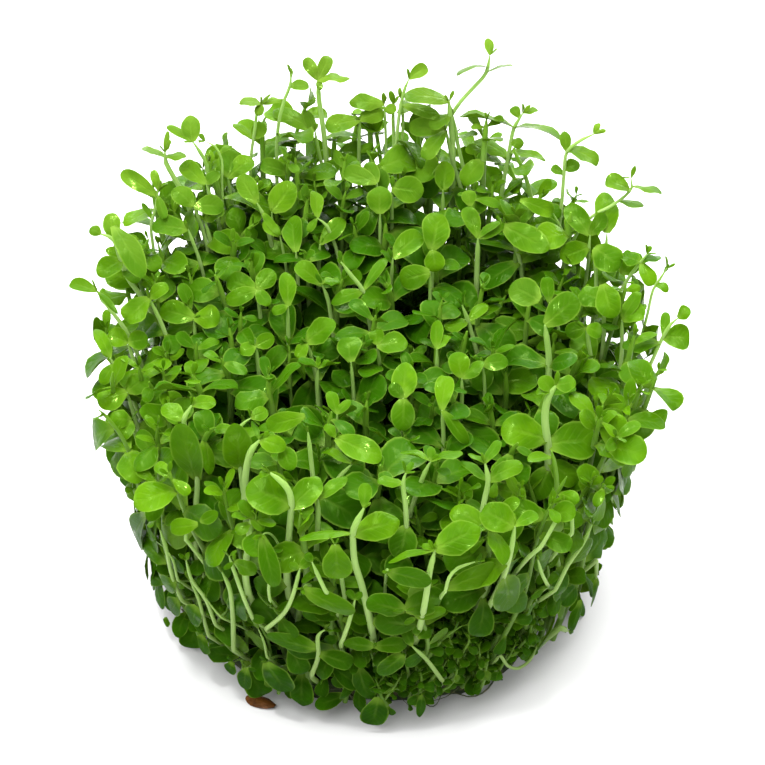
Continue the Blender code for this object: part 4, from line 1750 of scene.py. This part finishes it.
class Planting:
    """Where every shoot stands. The main ones follow the solids of the frame, by the same rule."""

    rings = (
        ("centre_shoot", 1, 0.0),
        ("inner_shoot", 6, 5.6),
        ("middle_shoot", 11, 11.0),
        ("outer_shoot", 17, 16.3),
    )
    rim_tips = tuple(RimTip(*row) for row in (
        (-6, 36.6, 41.0), (12, 34.5, 43.0), (27, 33.0, 46.0), (41, 31.5, 48.0), (57, 30.0, 50.0),
        (66, 29.0, 58.0), (86, 29.5, 52.0), (104, 29.5, 53.0), (121, 30.0, 49.5), (137, 31.0, 47.5),
        (153, 32.0, 46.5), (168, 34.0, 44.0), (185, 36.6, 41.0), (205, 33.0, 38.5), (226, 31.5, 36.5),
        (245, 30.5, 35.0), (262, 30.5, 34.0), (279, 30.5, 34.0), (296, 30.5, 34.5), (312, 31.0, 36.0),
        (330, 31.5, 38.0), (345, 33.5, 39.5),
    ))
    floor = 2.4 * MM
    solid_foot = 3.5 * MM
    solid_tip_leaf = 3.4 * MM
    spread = 1.25
    jitter = 0.9 * MM
    roughness = 2.5 * MM
    rim_foot_radius = 21.6 * MM
    rim_tall = 44
    wall_inset = 2.4 * MM
    inside_radius = 24 * MM
    hollow = Vector((7 * MM, 9 * MM, 0))
    hollow_depth = 6 * MM
    crown_count = 196
    crown_tries = 26
    crown_reach = 29.5
    crown_scale = 0.89
    low_share = 0.46
    wall_count = 88
    wall_heights = (0.3, 0.42, 0.52, 0.62, 0.74, 0.85, 0.94, 1.0)
    wall_insets = (1.2, 1.6, 2.2, 2.8, 3.6, 4.6)
    fine_count = 66

    def __init__(self, sight: Sight) -> None:
        """Plants everything. The main shoots' random numbers are those of the solids.

        Args:
            sight: The photograph's view.
        """
        self.same_dice = Random(SEED)
        self.dice = Random(SEED + 1)
        self.shoots: list[Shoot] = []
        self.add_inside()
        self.add_rim()
        self.mains = list(self.shoots)
        self.seen = [*SEEN_BACK, *SEEN_SIDES, *SEEN_CROWN, *SEEN_FRONT, *SEEN_WALL]
        self.seen_tips = [s.place(sight, s.stem[-1]) for s in self.seen]
        stood_for = {s.stands_for for s in self.seen}
        self.shoots = [s for s in self.shoots if s.sprig not in stood_for]
        self.add_crown()
        self.add_wall()
        self.add_fine()

    def owner(self, seen: SeenShoot, tip: Vector) -> str:
        """Finds the sprig that a shoot of the photograph belongs to.

        Args:
            seen: The shoot.
            tip: Where its tip is.

        Returns:
            The name of the sprig's main shoot.
        """
        if seen.stands_for:
            return seen.stands_for
        if off_axis(tip) < self.inside_radius:
            return self.nearest(tip)
        return self.wall_owner(bearing_of(tip))

    def nearest(self, point: Vector) -> str:
        """The name of the main shoot whose tip is nearest, seen from above."""
        return min(self.mains, key=lambda s: (s.tip.xy - point.xy).length).sprig

    def wall_owner(self, bearing: float) -> str:
        """The name of the rim shoot whose tip is nearest to this bearing."""
        turns = [abs((tip.bearing - bearing + 180) % 360 - 180) for tip in self.rim_tips]
        return f"rim_shoot_{turns.index(min(turns)) + 1:02d}"

    def add_inside(self) -> None:
        """Plants the main shoots inside the clump, ring by ring."""
        dice = self.same_dice
        for name, count, radius in self.rings:
            for k in range(count):
                bearing = 360 * k / count + 11 * count
                label = name if count == 1 else f"{name}_{k + 1:02d}"
                foot = polar(bearing, radius * MM, self.solid_foot)
                tip = polar(bearing, radius * MM * self.spread)
                jolt(tip, dice, 1, self.jitter)
                height = CUP.crown(tip.x, tip.y) + dice.uniform(-1, 1) * self.roughness
                tip.z = height + self.dice.uniform(0, 1.5) * MM
                bend = (foot + tip) / 2
                jolt(bend, dice, 1, self.jitter)
                foot.z = self.floor
                shoot = Shoot(label, Kind.CROWN, foot, bend, tip, dice.uniform(0, 90))
                self.shoots.append(shoot.vary(self.dice, 2.2 * MM))

    def add_rim(self) -> None:
        """Plants the main shoots along the wall, which lean out over the rim."""
        for k, end in enumerate(self.rim_tips):
            foot_bearing = 360 * k / len(self.rim_tips)
            foot = polar(foot_bearing, self.rim_foot_radius, self.floor)
            rise = end.height * MM - self.solid_tip_leaf * 0.8
            tip = polar(end.bearing, (end.reach - 1.5) * MM, rise + 1.2 * MM)
            middle = rise * 0.58
            bend_bearing = (foot_bearing + (end.bearing % 360 if k else end.bearing)) / 2
            bend = polar(bend_bearing, CUP.wall(middle) - self.wall_inset, middle)
            turn = foot_bearing + self.same_dice.uniform(-20, 20)
            name = f"rim_shoot_{k + 1:02d}"
            shoot = Shoot(name, Kind.RIM, foot, bend, tip, turn).vary(self.dice, 2.0 * MM)
            if end.height > self.rim_tall:
                shoot.spacing *= 1.2
            self.shoots.append(shoot)

    def roomy_spot(self, tips: list[Vector]) -> Vector:
        """Finds a spot for a shoot of the crown, sooner at the back and the sides.

        Args:
            tips: The tips that are there, seen from above.

        Returns:
            The spot with the most room of some by chance, on the floor.
        """
        best = None
        for _ in range(self.crown_tries):
            out = sqrt(self.dice.random()) * self.crown_reach * MM
            spot = polar(self.dice.uniform(0, 360), out)
            room = min((spot.xy - tip).length for tip in tips)
            room *= 1 + 0.45 * smooth((spot.y - 2 * MM) / (14 * MM))
            room *= 1 + 0.2 * smooth((abs(spot.x) - 16 * MM) / (10 * MM))
            if best is None or room > best[0]:
                best = (room, spot)
        return best[1]

    def add_crown(self) -> None:
        """Plants thinner shoots that fill the crown, each with room around it."""
        dice = self.dice
        tips = [s.tip.xy.copy() for s in self.shoots] + [tip.xy for tip in self.seen_tips]
        for _ in range(self.crown_count):
            tip = self.roomy_spot(tips)
            tips.append(tip.xy.copy())
            is_low = dice.random() < self.low_share
            height = CUP.crown(tip.x, tip.y) + dice.uniform(-4, 3) * MM
            height -= self.hollow_depth * exp(-((tip - self.hollow).length / (9 * MM)) ** 2)
            height += dice.uniform(0, 5) * MM * smooth((tip.y - 12 * MM) / (10 * MM))
            if is_low:
                height -= dice.uniform(3, 13) * MM
            foot = tip / self.spread
            jolt(foot, dice, 1.5, MM)
            foot.z = self.floor
            tip.z = height
            bend = (foot + tip) / 2
            jolt(bend, dice, 2.2, MM)
            ends = (foot, bend, tip)
            turn = dice.uniform(0, 180)
            shoot = Shoot(self.nearest(tip), Kind.CROWN, *ends, turn, self.crown_scale)
            self.shoots.append(shoot.vary(dice, 3.4 * MM))

    def add_wall(self) -> None:
        """Plants shoots that climb the wall between the main ones, some only part of the way."""
        dice = self.dice
        for k in range(self.wall_count):
            bearing = 360 * (k + 0.5) / self.wall_count + dice.uniform(-2.5, 2.5)
            foot = polar(bearing, dice.uniform(20, 24.6) * MM, self.floor)
            end = bearing + dice.uniform(-16, 16)
            local = CUP.crown_height + CUP.crown_slope * sin(radians(end))
            height = local * dice.choice(self.wall_heights)
            height += dice.uniform(-1, 1) * MM
            inset = dice.choice(self.wall_insets) * MM
            tip = polar(end, CUP.wall(height) - inset, height)
            middle = height * dice.uniform(0.4, 0.62)
            side = (bearing + end) / 2 + dice.uniform(-5, 5)
            bend = polar(side, CUP.wall(middle) - inset * 0.7, middle)
            turn = bearing + dice.uniform(0, 90)
            scale = 0.8 + 0.16 * smooth((height - 18 * MM) / (14 * MM))
            shoot = Shoot(self.wall_owner(end), Kind.WALL, foot, bend, tip, turn, scale)
            self.shoots.append(shoot.vary(dice, 2.5 * MM))

    def add_fine(self) -> None:
        """Plants a patch of very small shoots low on the wall at the front right."""
        dice = self.dice
        for k in range(self.fine_count):
            bearing = -94 + 52 * k / self.fine_count + dice.uniform(-2, 2)
            radius = dice.uniform(23.0, 26.0)
            start = dice.uniform(2.5, 11)
            foot = polar(bearing, radius * MM, start * MM)
            rise = dice.uniform(5, 9.5)
            end = bearing + dice.uniform(-9, 9)
            tip = polar(end, (radius + 1.0) * MM, (start + rise) * MM)
            bend = (foot + tip) / 2 + polar(bearing, 1.0 * MM)
            turn = dice.uniform(0, 180)
            self.shoots.append(Shoot(self.wall_owner(bearing), Kind.FINE, foot, bend, tip, turn))


class SprigPlan:
    """The mesh of edges and points from which the node tree grows one sprig."""

    leaf_values = {
        "leaf_size": ("length", "width", "thickness"),
        "leaf_form": ("bend", "cup", "fold"),
        "leaf_twist": ("twist", "ruffle"),
        "leaf_edge": ("wedge", "point_power"),
        "tone": ("tint", "age_and_centre_shade", "press"),
    }

    def __init__(self, stems: list[Stem], leaves: list[Leaf]) -> None:
        """Gathers the points of the stems and leaves.

        Args:
            stems: The sprig's stems.
            leaves: Its leaves.
        """
        self.points: list[Vector] = []
        self.edges: list[tuple[int, int]] = []
        self.radii: list[float] = []
        self.tones: list[tuple[float, float, float]] = []
        for stem in stems:
            start = len(self.points)
            ends = range(start, start + len(stem.points) - 1)
            self.edges += [(k, k + 1) for k in ends]
            self.points += stem.points
            self.radii += stem.radii
            self.tones += [(stem.tint, min(down / GROWN, 1.0), 0.0) for down in stem.downs]
        self.leaves = leaves

    def mesh(self) -> Mesh:
        """Writes the plan.

        Returns:
            The plan as a mesh with its attributes.
        """
        blank = [(0.0, 0.0, 0.0)] * len(self.points)
        mesh = bpy.data.meshes.new("plan")
        mesh.from_pydata([*self.points, *(leaf.foot for leaf in self.leaves)], self.edges, [])
        count = len(self.leaves)
        flags = [False] * len(self.points) + [True] * count
        self.write(mesh, "is_leaf", "BOOLEAN", "value", flags)
        self.write(mesh, "radius", "FLOAT", "value", self.radii + [0.0] * count)
        rows = {k: [getattr(leaf, k) for leaf in self.leaves] for k in ("foot", "along", "normal")}
        for name, keys in self.leaf_values.items():
            rows[name] = [[getattr(leaf, k) for k in keys] for leaf in self.leaves]
        for name, row in rows.items():
            vectors = (self.tones if name == "tone" else blank) + row
            flat = [c for vector in vectors for c in (*vector, 0.0)[:3]]
            self.write(mesh, name, "FLOAT_VECTOR", "vector", flat)
        return mesh

    @staticmethod
    def write(mesh: Mesh, name: str, kind: str, key: str, values: list) -> None:
        """Writes one attribute on the plan's points."""
        mesh.attributes.new(name, kind, "POINT").data.foreach_set(key, values)


Colour = tuple[float, float, float, float]


class Finish:
    """A material made of nodes. Each finish of the clump adds its own."""

    name = "finish"

    def build(self) -> Material:
        """Makes the material.

        Returns:
            The material.
        """
        material = bpy.data.materials.new(self.name)
        material.use_nodes = True
        material.node_tree.nodes.clear()
        nodes = NodeTree(material.node_tree)
        nodes.add("OutputMaterial", self.shade(nodes))
        return material

    def shade(self, n: NodeTree) -> Field:
        """Lays out the nodes and returns the shader that the surface shows."""
        raise NotImplementedError

    @staticmethod
    def place(n: NodeTree) -> Field:
        """The place on the piece, in metres."""
        return n.take(n.add("TexCoord"), "Object")

    @staticmethod
    def inside(n: NodeTree, place: list[Field], near: float, fade: tuple[float, float]) -> Field:
        """How far a place is inside the clump, which the finishes darken as painted shade.

        Args:
            n: The tree.
            place: The three parts of the place.
            near: How far from the wall it starts to count as inside.
            fade: The heights between which it no longer matters.

        Returns:
            1 low down inside the clump, and 0 near the wall and high up.
        """
        x, y, height = place
        out = n.sum("SQRT", x * x + y * y)
        wall = n.clamp(height / CUP.rim_height) * (CUP.rim_radius - CUP.foot_radius)
        painted_shade = n.ramp(wall + CUP.foot_radius - out, near, 6 * MM)
        return painted_shade * (1 - n.ramp(height, *fade))

    @staticmethod
    def layers(n: NodeTree, colour: object, *layers: tuple[object, Colour]) -> Field:
        """A colour under layers of others, each with its share."""
        return reduce(lambda below, layer: n.mix(layer[0], below, layer[1]), layers, colour)

    @staticmethod
    def gloss(
        n: NodeTree, colour: Field, relief: Field, bump: tuple[float, float], **more: object
    ) -> Field:
        """A surface with a fine relief.

        Args:
            n: The tree.
            colour: Its colour.
            relief: The height of its relief.
            bump: How strong and how high the relief is.
            more: Its other values.

        Returns:
            The shader.
        """
        strength, height = bump
        normal = n.run("Bump", Height=relief, Strength=strength, Distance=height)
        return n.run("BsdfPrincipled", Base_Color=colour, Normal=normal, **more)

    @staticmethod
    def lit(n: NodeTree, gloss: Field, glow: Field, share: float) -> Field:
        """A surface that lets a share of the light through from behind."""
        return n.run("MixShader", share, gloss, n.run("BsdfTranslucent", glow))


@dataclass(frozen=True)
class LeafFinish(Finish):
    """Fresh leaf: yellow-green when young, darker when older and yellower towards the top, paler below,
    with painted shade low on the wall, at the front and towards the middle, a painted highlight at the
    margin and a painted grey sheen where it lies on the wall.
    """

    name: str = "leaf_green"
    top_yellow_green: Colour = (0.19, 0.30, 0.03, 1)
    young: Colour = (0.115, 0.27, 0.003, 1)
    grown: Colour = (0.030, 0.122, 0.001, 1)
    # painted shade: the dark green given to leaves low on the wall, at the front and inside the clump
    painted_shade: Colour = (0.013, 0.060, 0.001, 1)
    # paler tone of the underside, midrib, veins and foot, also used for the painted highlight at the
    # margin
    pale: Colour = (0.26, 0.42, 0.05, 1)
    sheen_grey: Colour = (0.06, 0.13, 0.012, 1)
    glow: Colour = (0.46, 0.64, 0.03, 1)
    shine: Colour = (0.6, 1.0, 0.2, 1)
    see_through: float = 0.42
    roughness: float = 0.33

    def shade(self, n: NodeTree) -> Field:
        """Mixes gloss and light from behind over a veined, mottled green.

        Args:
            n: The tree.

        Returns:
            The shader.
        """
        share, across = n.uv("leaf_map")
        tint, age_and_centre_shade = n.uv("tone_map")
        under, press = n.uv("side_map")
        place = self.place(n)
        x, y, height = n.split(place)
        side = n.sum("ABSOLUTE", across - 0.5) * 2.0
        midrib = (1 - n.ramp(side, 0.03, 0.16)) * (1 - n.ramp(share, 0.45, 0.9))
        wave = n.sum("SINE", (share - side * 0.34) * 38.0)
        vein = n.ramp(wave, 0.55, 1.0) * (1 - n.ramp(side, 0.6, 0.95))
        low = 1 - n.ramp(height, 3 * MM, 35 * MM)
        front = n.ramp(0 - y, 6 * MM, 26 * MM)
        inside = self.inside(n, [x, y, height], 1.2 * MM, (12 * MM, 32 * MM))
        mottle = n.noise(place, 900.0, 3.0)
        cloud = n.ramp(n.noise(place, 420.0), 0.4, 0.62)
        colour = self.layers(
            n,
            # younger to older green; the older share also holds painted shade towards the middle of the
            # clump
            n.mix(n.clamp(age_and_centre_shade + tint * 0.65 - 0.18), self.young, self.grown),
            # yellower and lighter towards the top of the clump
            (n.ramp(height, 38 * MM, 54 * MM) * 0.6, self.top_yellow_green),
            # painted shade low on the wall, strongest at the front, plus a random darker tone for each
            # leaf
            (n.clamp(low * (front * 0.6 + 0.42) + tint * 0.2), self.painted_shade),
            # painted shade inside the clump and low down
            (n.clamp(inside * 0.8 + low * 0.2), self.painted_shade),
            (mottle * 0.2 + cloud * 0.38, self.grown),
            (under * 0.2, self.pale),
            (midrib * 0.12, self.pale),
            (vein * 0.05, self.pale),
            ((1 - n.ramp(share, 0.02, 0.28)) * 0.45, self.pale),
            # painted highlight along the margin
            (n.ramp(side, 0.84, 1.0) * 0.4, self.pale),
            # painted grey sheen where the leaf lies on the wall
            (press * 0.06, self.sheen_grey),
        )
        swell = n.noise(place, 330.0, 1.0) * 2.4 + n.noise(place, 2600.0) * 0.2
        relief = swell + mottle * 0.4 - midrib * 0.8 - vein * 0.35
        wet = n.ramp(n.noise(place, 650.0, 1.0), 0.55, 0.66)
        gloss = self.gloss(
            n,
            colour,
            relief,
            (0.3, 0.0002),
            Roughness=n.noise(place, 500.0, 1.0) * 0.22 + self.roughness - 0.11 - wet * 0.2,
            Specular_IOR_Level=(wet * 0.42 + 0.13) * (1 - low * 0.8),
            Specular_Tint=self.shine,
        )
        return self.lit(n, gloss, n.mix(0.4, colour, self.glow), self.see_through)


@dataclass(frozen=True)
class StemFinish(Finish):
    """Fresh stem: almost white low down and at the wall, greener towards the tip, with painted shade low
    down and inside the clump, and its green painted lighter high up where light comes through.
    """

    name: str = "stem_pale"
    tip_green: Colour = (0.20, 0.40, 0.03, 1)
    pale_green: Colour = (0.44, 0.62, 0.21, 1)
    # painted shade colour for stems low down
    painted_low_shade: Colour = (0.20, 0.29, 0.085, 1)
    leaf_green: Colour = (0.07, 0.17, 0.008, 1)
    shaded: Colour = (0.03, 0.095, 0.003, 1)
    glow: Colour = (0.52, 0.72, 0.2, 1)

    def shade(self, n: NodeTree) -> Field:
        """Mixes gloss and some light from inside over a finely streaked green.

        Args:
            n: The tree.

        Returns:
            The shader.
        """
        tint, age_and_centre_shade = n.uv("tone_map")
        x, y, z = n.split(self.place(n))
        streak = n.noise(n.vector(x, y, z * 0.12), 3200.0)
        paleness = n.clamp(n.ramp(age_and_centre_shade, 0.05, 0.5) + n.ramp(tint, 0.5, 1.0) * 0.6)
        high = n.ramp(z, 30 * MM, 46 * MM)
        inside = self.inside(n, [x, y, z], 1.5 * MM, (14 * MM, 34 * MM))
        colour = self.layers(
            n,
            n.mix(paleness, self.tip_green, self.pale_green),
            # painted shade low down
            ((1 - n.ramp(z, 4 * MM, 26 * MM)) * 0.8, self.painted_low_shade),
            # a random green tone for each stem, painted lighter high up where light comes through from
            # behind
            ((1 - tint) * (0.85 - high * 0.75), self.leaf_green),
            # painted shade inside the clump
            (inside * (0.85 - tint * 0.45), self.shaded),
            (streak * 0.2, self.tip_green),
        )
        more = {"Roughness": 0.34, "Specular_IOR_Level": 0.16}
        gloss = self.gloss(n, colour, streak, (0.25, 0.0001), **more)
        return self.lit(n, gloss, n.mix(0.5, colour, self.glow), 0.45)


@dataclass(frozen=True)
class MatFinish(Finish):
    """Matted roots: brown and olive, damp and rough, painted almost black as the shade under the clump."""

    name: str = "root_mat"
    # painted shade: the mat's colours are kept almost black, as the shade under the clump
    dark: Colour = (0.005, 0.012, 0.002, 1)
    olive: Colour = (0.018, 0.032, 0.005, 1)
    tan: Colour = (0.05, 0.046, 0.014, 1)

    def shade(self, n: NodeTree) -> Field:
        """Mottled browns with fine fibres.

        Args:
            n: The tree.

        Returns:
            The shader.
        """
        place = self.place(n)
        patch = n.noise(place, 260.0, 4.0)
        fibre = n.noise(place, 1500.0, 4.0)
        colour = n.mix(n.ramp(patch, 0.35, 0.65), self.dark, self.olive)
        colour = n.mix(n.ramp(fibre, 0.5, 0.72), colour, self.tan)
        more = {"Roughness": 0.62, "Specular_IOR_Level": 0.15}
        return self.gloss(n, colour, fibre + patch, (0.6, 0.0004), **more)


@dataclass(frozen=True)
class ThreadFinish(MatFinish):
    """Loose roots, paler than the mat."""

    name: str = "root_thread"
    dark: Colour = (0.035, 0.05, 0.02, 1)
    olive: Colour = (0.07, 0.08, 0.035, 1)
    tan: Colour = (0.14, 0.13, 0.07, 1)


@dataclass(frozen=True)
class WitheredFinish(Finish):
    """A dead leaf: reddish brown with darker blotches."""

    name: str = "withered_brown"
    brown: Colour = (0.14, 0.05, 0.008, 1)
    dark: Colour = (0.05, 0.018, 0.003, 1)

    def shade(self, n: NodeTree) -> Field:
        """Blotched brown with a damp gloss.

        Args:
            n: The tree.

        Returns:
            The shader.
        """
        place = self.place(n)
        blotch = n.noise(place, 700.0, 4.0)
        relief = n.noise(place, 2600.0, 3.0) + blotch
        colour = n.mix(n.ramp(blotch, 0.35, 0.7), self.brown, self.dark)
        more = {"Roughness": 0.5, "Specular_IOR_Level": 0.15}
        return self.gloss(n, colour, relief, (0.5, 0.0003), **more)


@dataclass(frozen=True)
class FloorFinish(Finish):
    """The pale floor under the clump."""

    name: str = "studio_floor"
    white: Colour = (0.58, 0.58, 0.58, 1)

    def shade(self, n: NodeTree) -> Field:
        """Plain matt white."""
        return n.run("BsdfPrincipled", Base_Color=self.white, Roughness=0.7)


@dataclass
class RootMat:
    """The mat of roots under the clump: a lumpy disc, flat below."""

    radius: float = 22.9 * MM
    thickness: float = 3.2 * MM
    wave: float = 0.6 * MM
    waves: int = 5
    around: int = 96
    rings: int = 14
    lumps: float = 0.5 * MM
    edge: float = 0.3
    edge_radius: float = 1.2 * MM
    middle_radius: float = 0.4 * MM

    def build(self, finish: Material) -> Object:
        """Makes the mat as one closed mesh.

        Args:
            finish: Its material.

        Returns:
            The mat.
        """
        dice = Random(SEED + 5)
        places = []
        for k in range(self.rings + 1):
            out, height, rough = self.profile(k / self.rings)
            for i in range(self.around):
                bearing = 360 * i / self.around
                wavy = self.wave * (sin(radians(bearing * self.waves)) - 1)
                radius = out + wavy * out / self.radius - dice.random() * self.lumps * rough
                top = max(height - dice.random() * self.lumps * rough, 0.0)
                places.append(polar(bearing, radius, top))
        rows = [range(k, k + self.around) for k in range(0, len(places), self.around)]
        faces = []
        for low, high in zip(rows, rows[1:]):
            faces += [(low[i - 1], low[i], high[i], high[i - 1]) for i in range(self.around)]
        faces += [rows[0][::-1], rows[-1]]
        mesh = bpy.data.meshes.new("root_bed")
        mesh.from_pydata(places, [], faces)
        mesh.shade_smooth()
        mesh.materials.append(finish)
        return add_object("root_bed", mesh)

    def profile(self, share: float) -> tuple[float, float, float]:
        """Finds a point of the mat's outline.

        Args:
            share: The share of the way from the edge of its underside to the middle of its top.

        Returns:
            The distance from the axis, the height and how lumpy it is.
        """
        flat = self.radius - self.edge_radius
        if share < self.edge:
            angle = pi * share / self.edge
            out = flat + sin(angle) * self.edge_radius
            rough = min(share / self.edge * 3, 1.0)
            return out, self.thickness / 2 * (1 - cos(angle)), rough
        rest = (share - self.edge) / (1 - self.edge)
        return flat * (1 - rest) + self.middle_radius, self.thickness, 1.0


@dataclass
class RootThreads:
    """Loose root threads that wind around the edge of the mat."""

    count: int = 26
    radius: float = 22.6 * MM
    steps: int = 16
    lowest: float = 0.25 * MM

    def stems(self, dice: Random) -> list[Stem]:
        """Draws the threads, each a short wander along the mat's edge.

        Args:
            dice: What they are drawn from.

        Returns:
            Their centre lines.
        """
        made = []
        for _ in range(self.count):
            bearing = dice.uniform(0, 360)
            swing = dice.choice((-1, 1)) * dice.uniform(0.8, 2.4)
            phase, waves = dice.uniform(0, 6.28), dice.uniform(0.3, 0.8)
            height = dice.uniform(0.3, 3.2) * MM
            points = []
            for k in range(self.steps):
                out = self.radius + sin(phase + k * waves) * 0.9 * MM
                rise = height + sin(phase * 2 + k * waves * 0.7) * 1.1 * MM
                points.append(polar(bearing + swing * k, out, max(rise, self.lowest)))
            wide = dice.uniform(0.07, 0.14) * MM
            radii = [wide * (1.1 - k / self.steps) for k in range(self.steps)]
            made.append(Stem(points, radii, dice.random()))
        return made


@dataclass
class WitheredLeaf:
    """The brown leaf on the floor, which lies as long as its solid, curled and crumpled."""

    spot: Vector
    length: float
    height: float = 0.5 * MM

    def leaf(self) -> Leaf:
        """Shapes the leaf.

        Returns:
            The leaf, across the direction from the cup's axis.
        """
        along = Vector((self.spot.x, self.spot.y, 0)).normalized().cross(UP)
        foot = self.spot - along * (self.length / 2)
        foot.z = self.height
        return Leaf(
            foot=foot, along=along, normal=UP, length=self.length, width=self.length * 0.5,
            thickness=0.34 * MM, bend=0.3, cup=-0.4, twist=0.15, ruffle=0.15, wedge=1.1,
        )


@dataclass
class Studio:
    """The floor, the lights and the camera."""

    sight: Sight
    floor_size: float = 4.0
    sky: Colour = (1.0, 1.0, 1.0, 1)
    sky_strength: float = 0.58
    lights = (
        ("key_light", (-0.14, -0.1, 0.7), 0.8, 10.0),
        ("front_fill", (-0.4, -0.45, 0.4), 0.5, 1.4),
        ("spark_light", (-0.1, -0.16, 0.6), 0.05, 1.8),
        ("back_light", (0.1, 0.5, 0.5), 1.1, 18.5),
        ("side_fill", (0.5, -0.2, 0.3), 0.4, 1.3),
    )

    def build(self) -> None:
        """Makes everything around the clump."""
        self.add_floor()
        for row in self.lights:
            self.add_light(*row)
        world = bpy.data.worlds.new("studio_sky")
        world.use_nodes = True
        background = world.node_tree.nodes["Background"]
        background.inputs["Color"].default_value = self.sky
        background.inputs["Strength"].default_value = self.sky_strength
        bpy.context.scene.world = world
        bpy.context.scene.view_settings.view_transform = "Standard"
        self.add_camera()

    def add_floor(self) -> None:
        """Adds a wide pale floor."""
        half = self.floor_size / 2
        mesh = bpy.data.meshes.new("floor")
        corners = [(-half, -half, 0), (half, -half, 0), (half, half, 0), (-half, half, 0)]
        mesh.from_pydata(corners, [], [(0, 1, 2, 3)])
        mesh.materials.append(FloorFinish().build())
        add_object("floor", mesh)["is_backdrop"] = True

    def add_light(self, name: str, place: tuple, size: float, power: float) -> None:
        """Adds a square soft light that faces the clump.

        Args:
            name: Its name.
            place: Where it is.
            size: How wide it is.
            power: Its power.
        """
        data = bpy.data.lights.new(name, "AREA")
        data.size = size
        data.energy = power
        light = add_object(name, data)
        light.location = place
        aim = self.sight.target - Vector(place)
        light.rotation_euler = aim.to_track_quat("-Z", "Y").to_euler()

    def add_camera(self) -> None:
        """Adds the camera at the photograph's angle."""
        data = bpy.data.cameras.new("camera")
        data.lens = self.sight.lens
        data.sensor_width = self.sight.sensor
        data.clip_start = 0.01
        data.clip_end = 20.0
        camera = add_object("camera", data)
        camera.location = self.sight.eye
        camera.rotation_euler = (-self.sight.back).to_track_quat("-Z", "Y").to_euler()
        bpy.context.scene.camera = camera


class Clump:
    """The whole plant: sprigs, mat of roots and withered leaf, in the frame's own place."""

    foot_height = 0.05 * MM

    def __init__(self, frame: dict) -> None:
        """Finds the axis of the cup in the frame.

        Args:
            frame: The loaded frame.
        """
        self.frame = frame
        low, high = (Vector(corner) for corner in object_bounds())
        self.half_box = (high - low) / 2
        places = [v.co for v in frame["nodes"]["centre_shoot"].data.vertices]
        lowest = min(p.z for p in places)
        foot = [p for p in places if p.z < lowest + self.foot_height]
        x, y = ((min(row) + max(row)) / 2 for row in list(zip(*foot))[:2])
        self.axis = Vector((x, y, 0))

    def settle(self, piece: Object, node: str, slot: str) -> None:
        """Puts a finished piece in its place in the frame.

        Args:
            piece: The piece, placed from the cup's axis.
            node: The node that it stands for.
            slot: The name of its material's slot; not used.
        """
        piece.data.transform(Matrix.Translation(self.axis))
        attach(piece, "root")
        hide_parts(node)
        log.info("%s: %d faces", piece.name, len(piece.data.polygons))

    def withered(self) -> WitheredLeaf:
        """Finds the withered leaf.

        Returns:
            The leaf, where its solid lies.
        """
        places = [v.co - self.axis for v in self.frame["nodes"]["withered_leaf"].data.vertices]
        low = Vector(map(min, zip(*places)))
        high = Vector(map(max, zip(*places)))
        return WitheredLeaf((low + high) / 2, max(high.x - low.x, high.y - low.y))

    def build(self, sight: Sight) -> None:
        """Grows everything.

        Args:
            sight: The photograph's view.
        """
        tree = SprigTree(LeafFinish().build(), StemFinish().build(), self.half_box)
        gardener = Gardener(Random(SEED + 2), sight)
        planting = Planting(sight)
        for seen, tip in zip(planting.seen, planting.seen_tips):
            gardener.copy(seen, planting.owner(seen, tip), planting.floor)
        gardener.grow(planting.shoots)
        for node in sorted(gardener.stems):
            plan = SprigPlan(gardener.stems[node], gardener.leaves[node])
            sprig = tree.grow(node.replace("shoot", "sprig"), plan.mesh())
            self.settle(sprig, node, "fresh_shoot")
        self.settle(RootMat().build(MatFinish().build()), "root_mat", "root_mat")
        plan = SprigPlan(RootThreads().stems(Random(SEED + 6)), [])
        threads = tree.grow("root_threads", plan.mesh(), ThreadFinish().build())
        self.settle(threads, "root_mat", "root_mat")
        plan = SprigPlan([], [self.withered().leaf()])
        blade = tree.grow("withered_blade", plan.mesh(), WitheredFinish().build())
        self.settle(blade, "withered_leaf", "withered_leaf")
        log.info("%d leaves", sum(len(v) for v in gardener.leaves.values()))


def main() -> None:
    """Builds the clump and the studio around it."""
    logging.basicConfig(level=logging.INFO)
    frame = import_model()
    clump = Clump(frame)
    sight = Sight(clump.axis)
    Studio(sight).build()
    clump.build(sight)


if __name__ == "__main__":
    main()
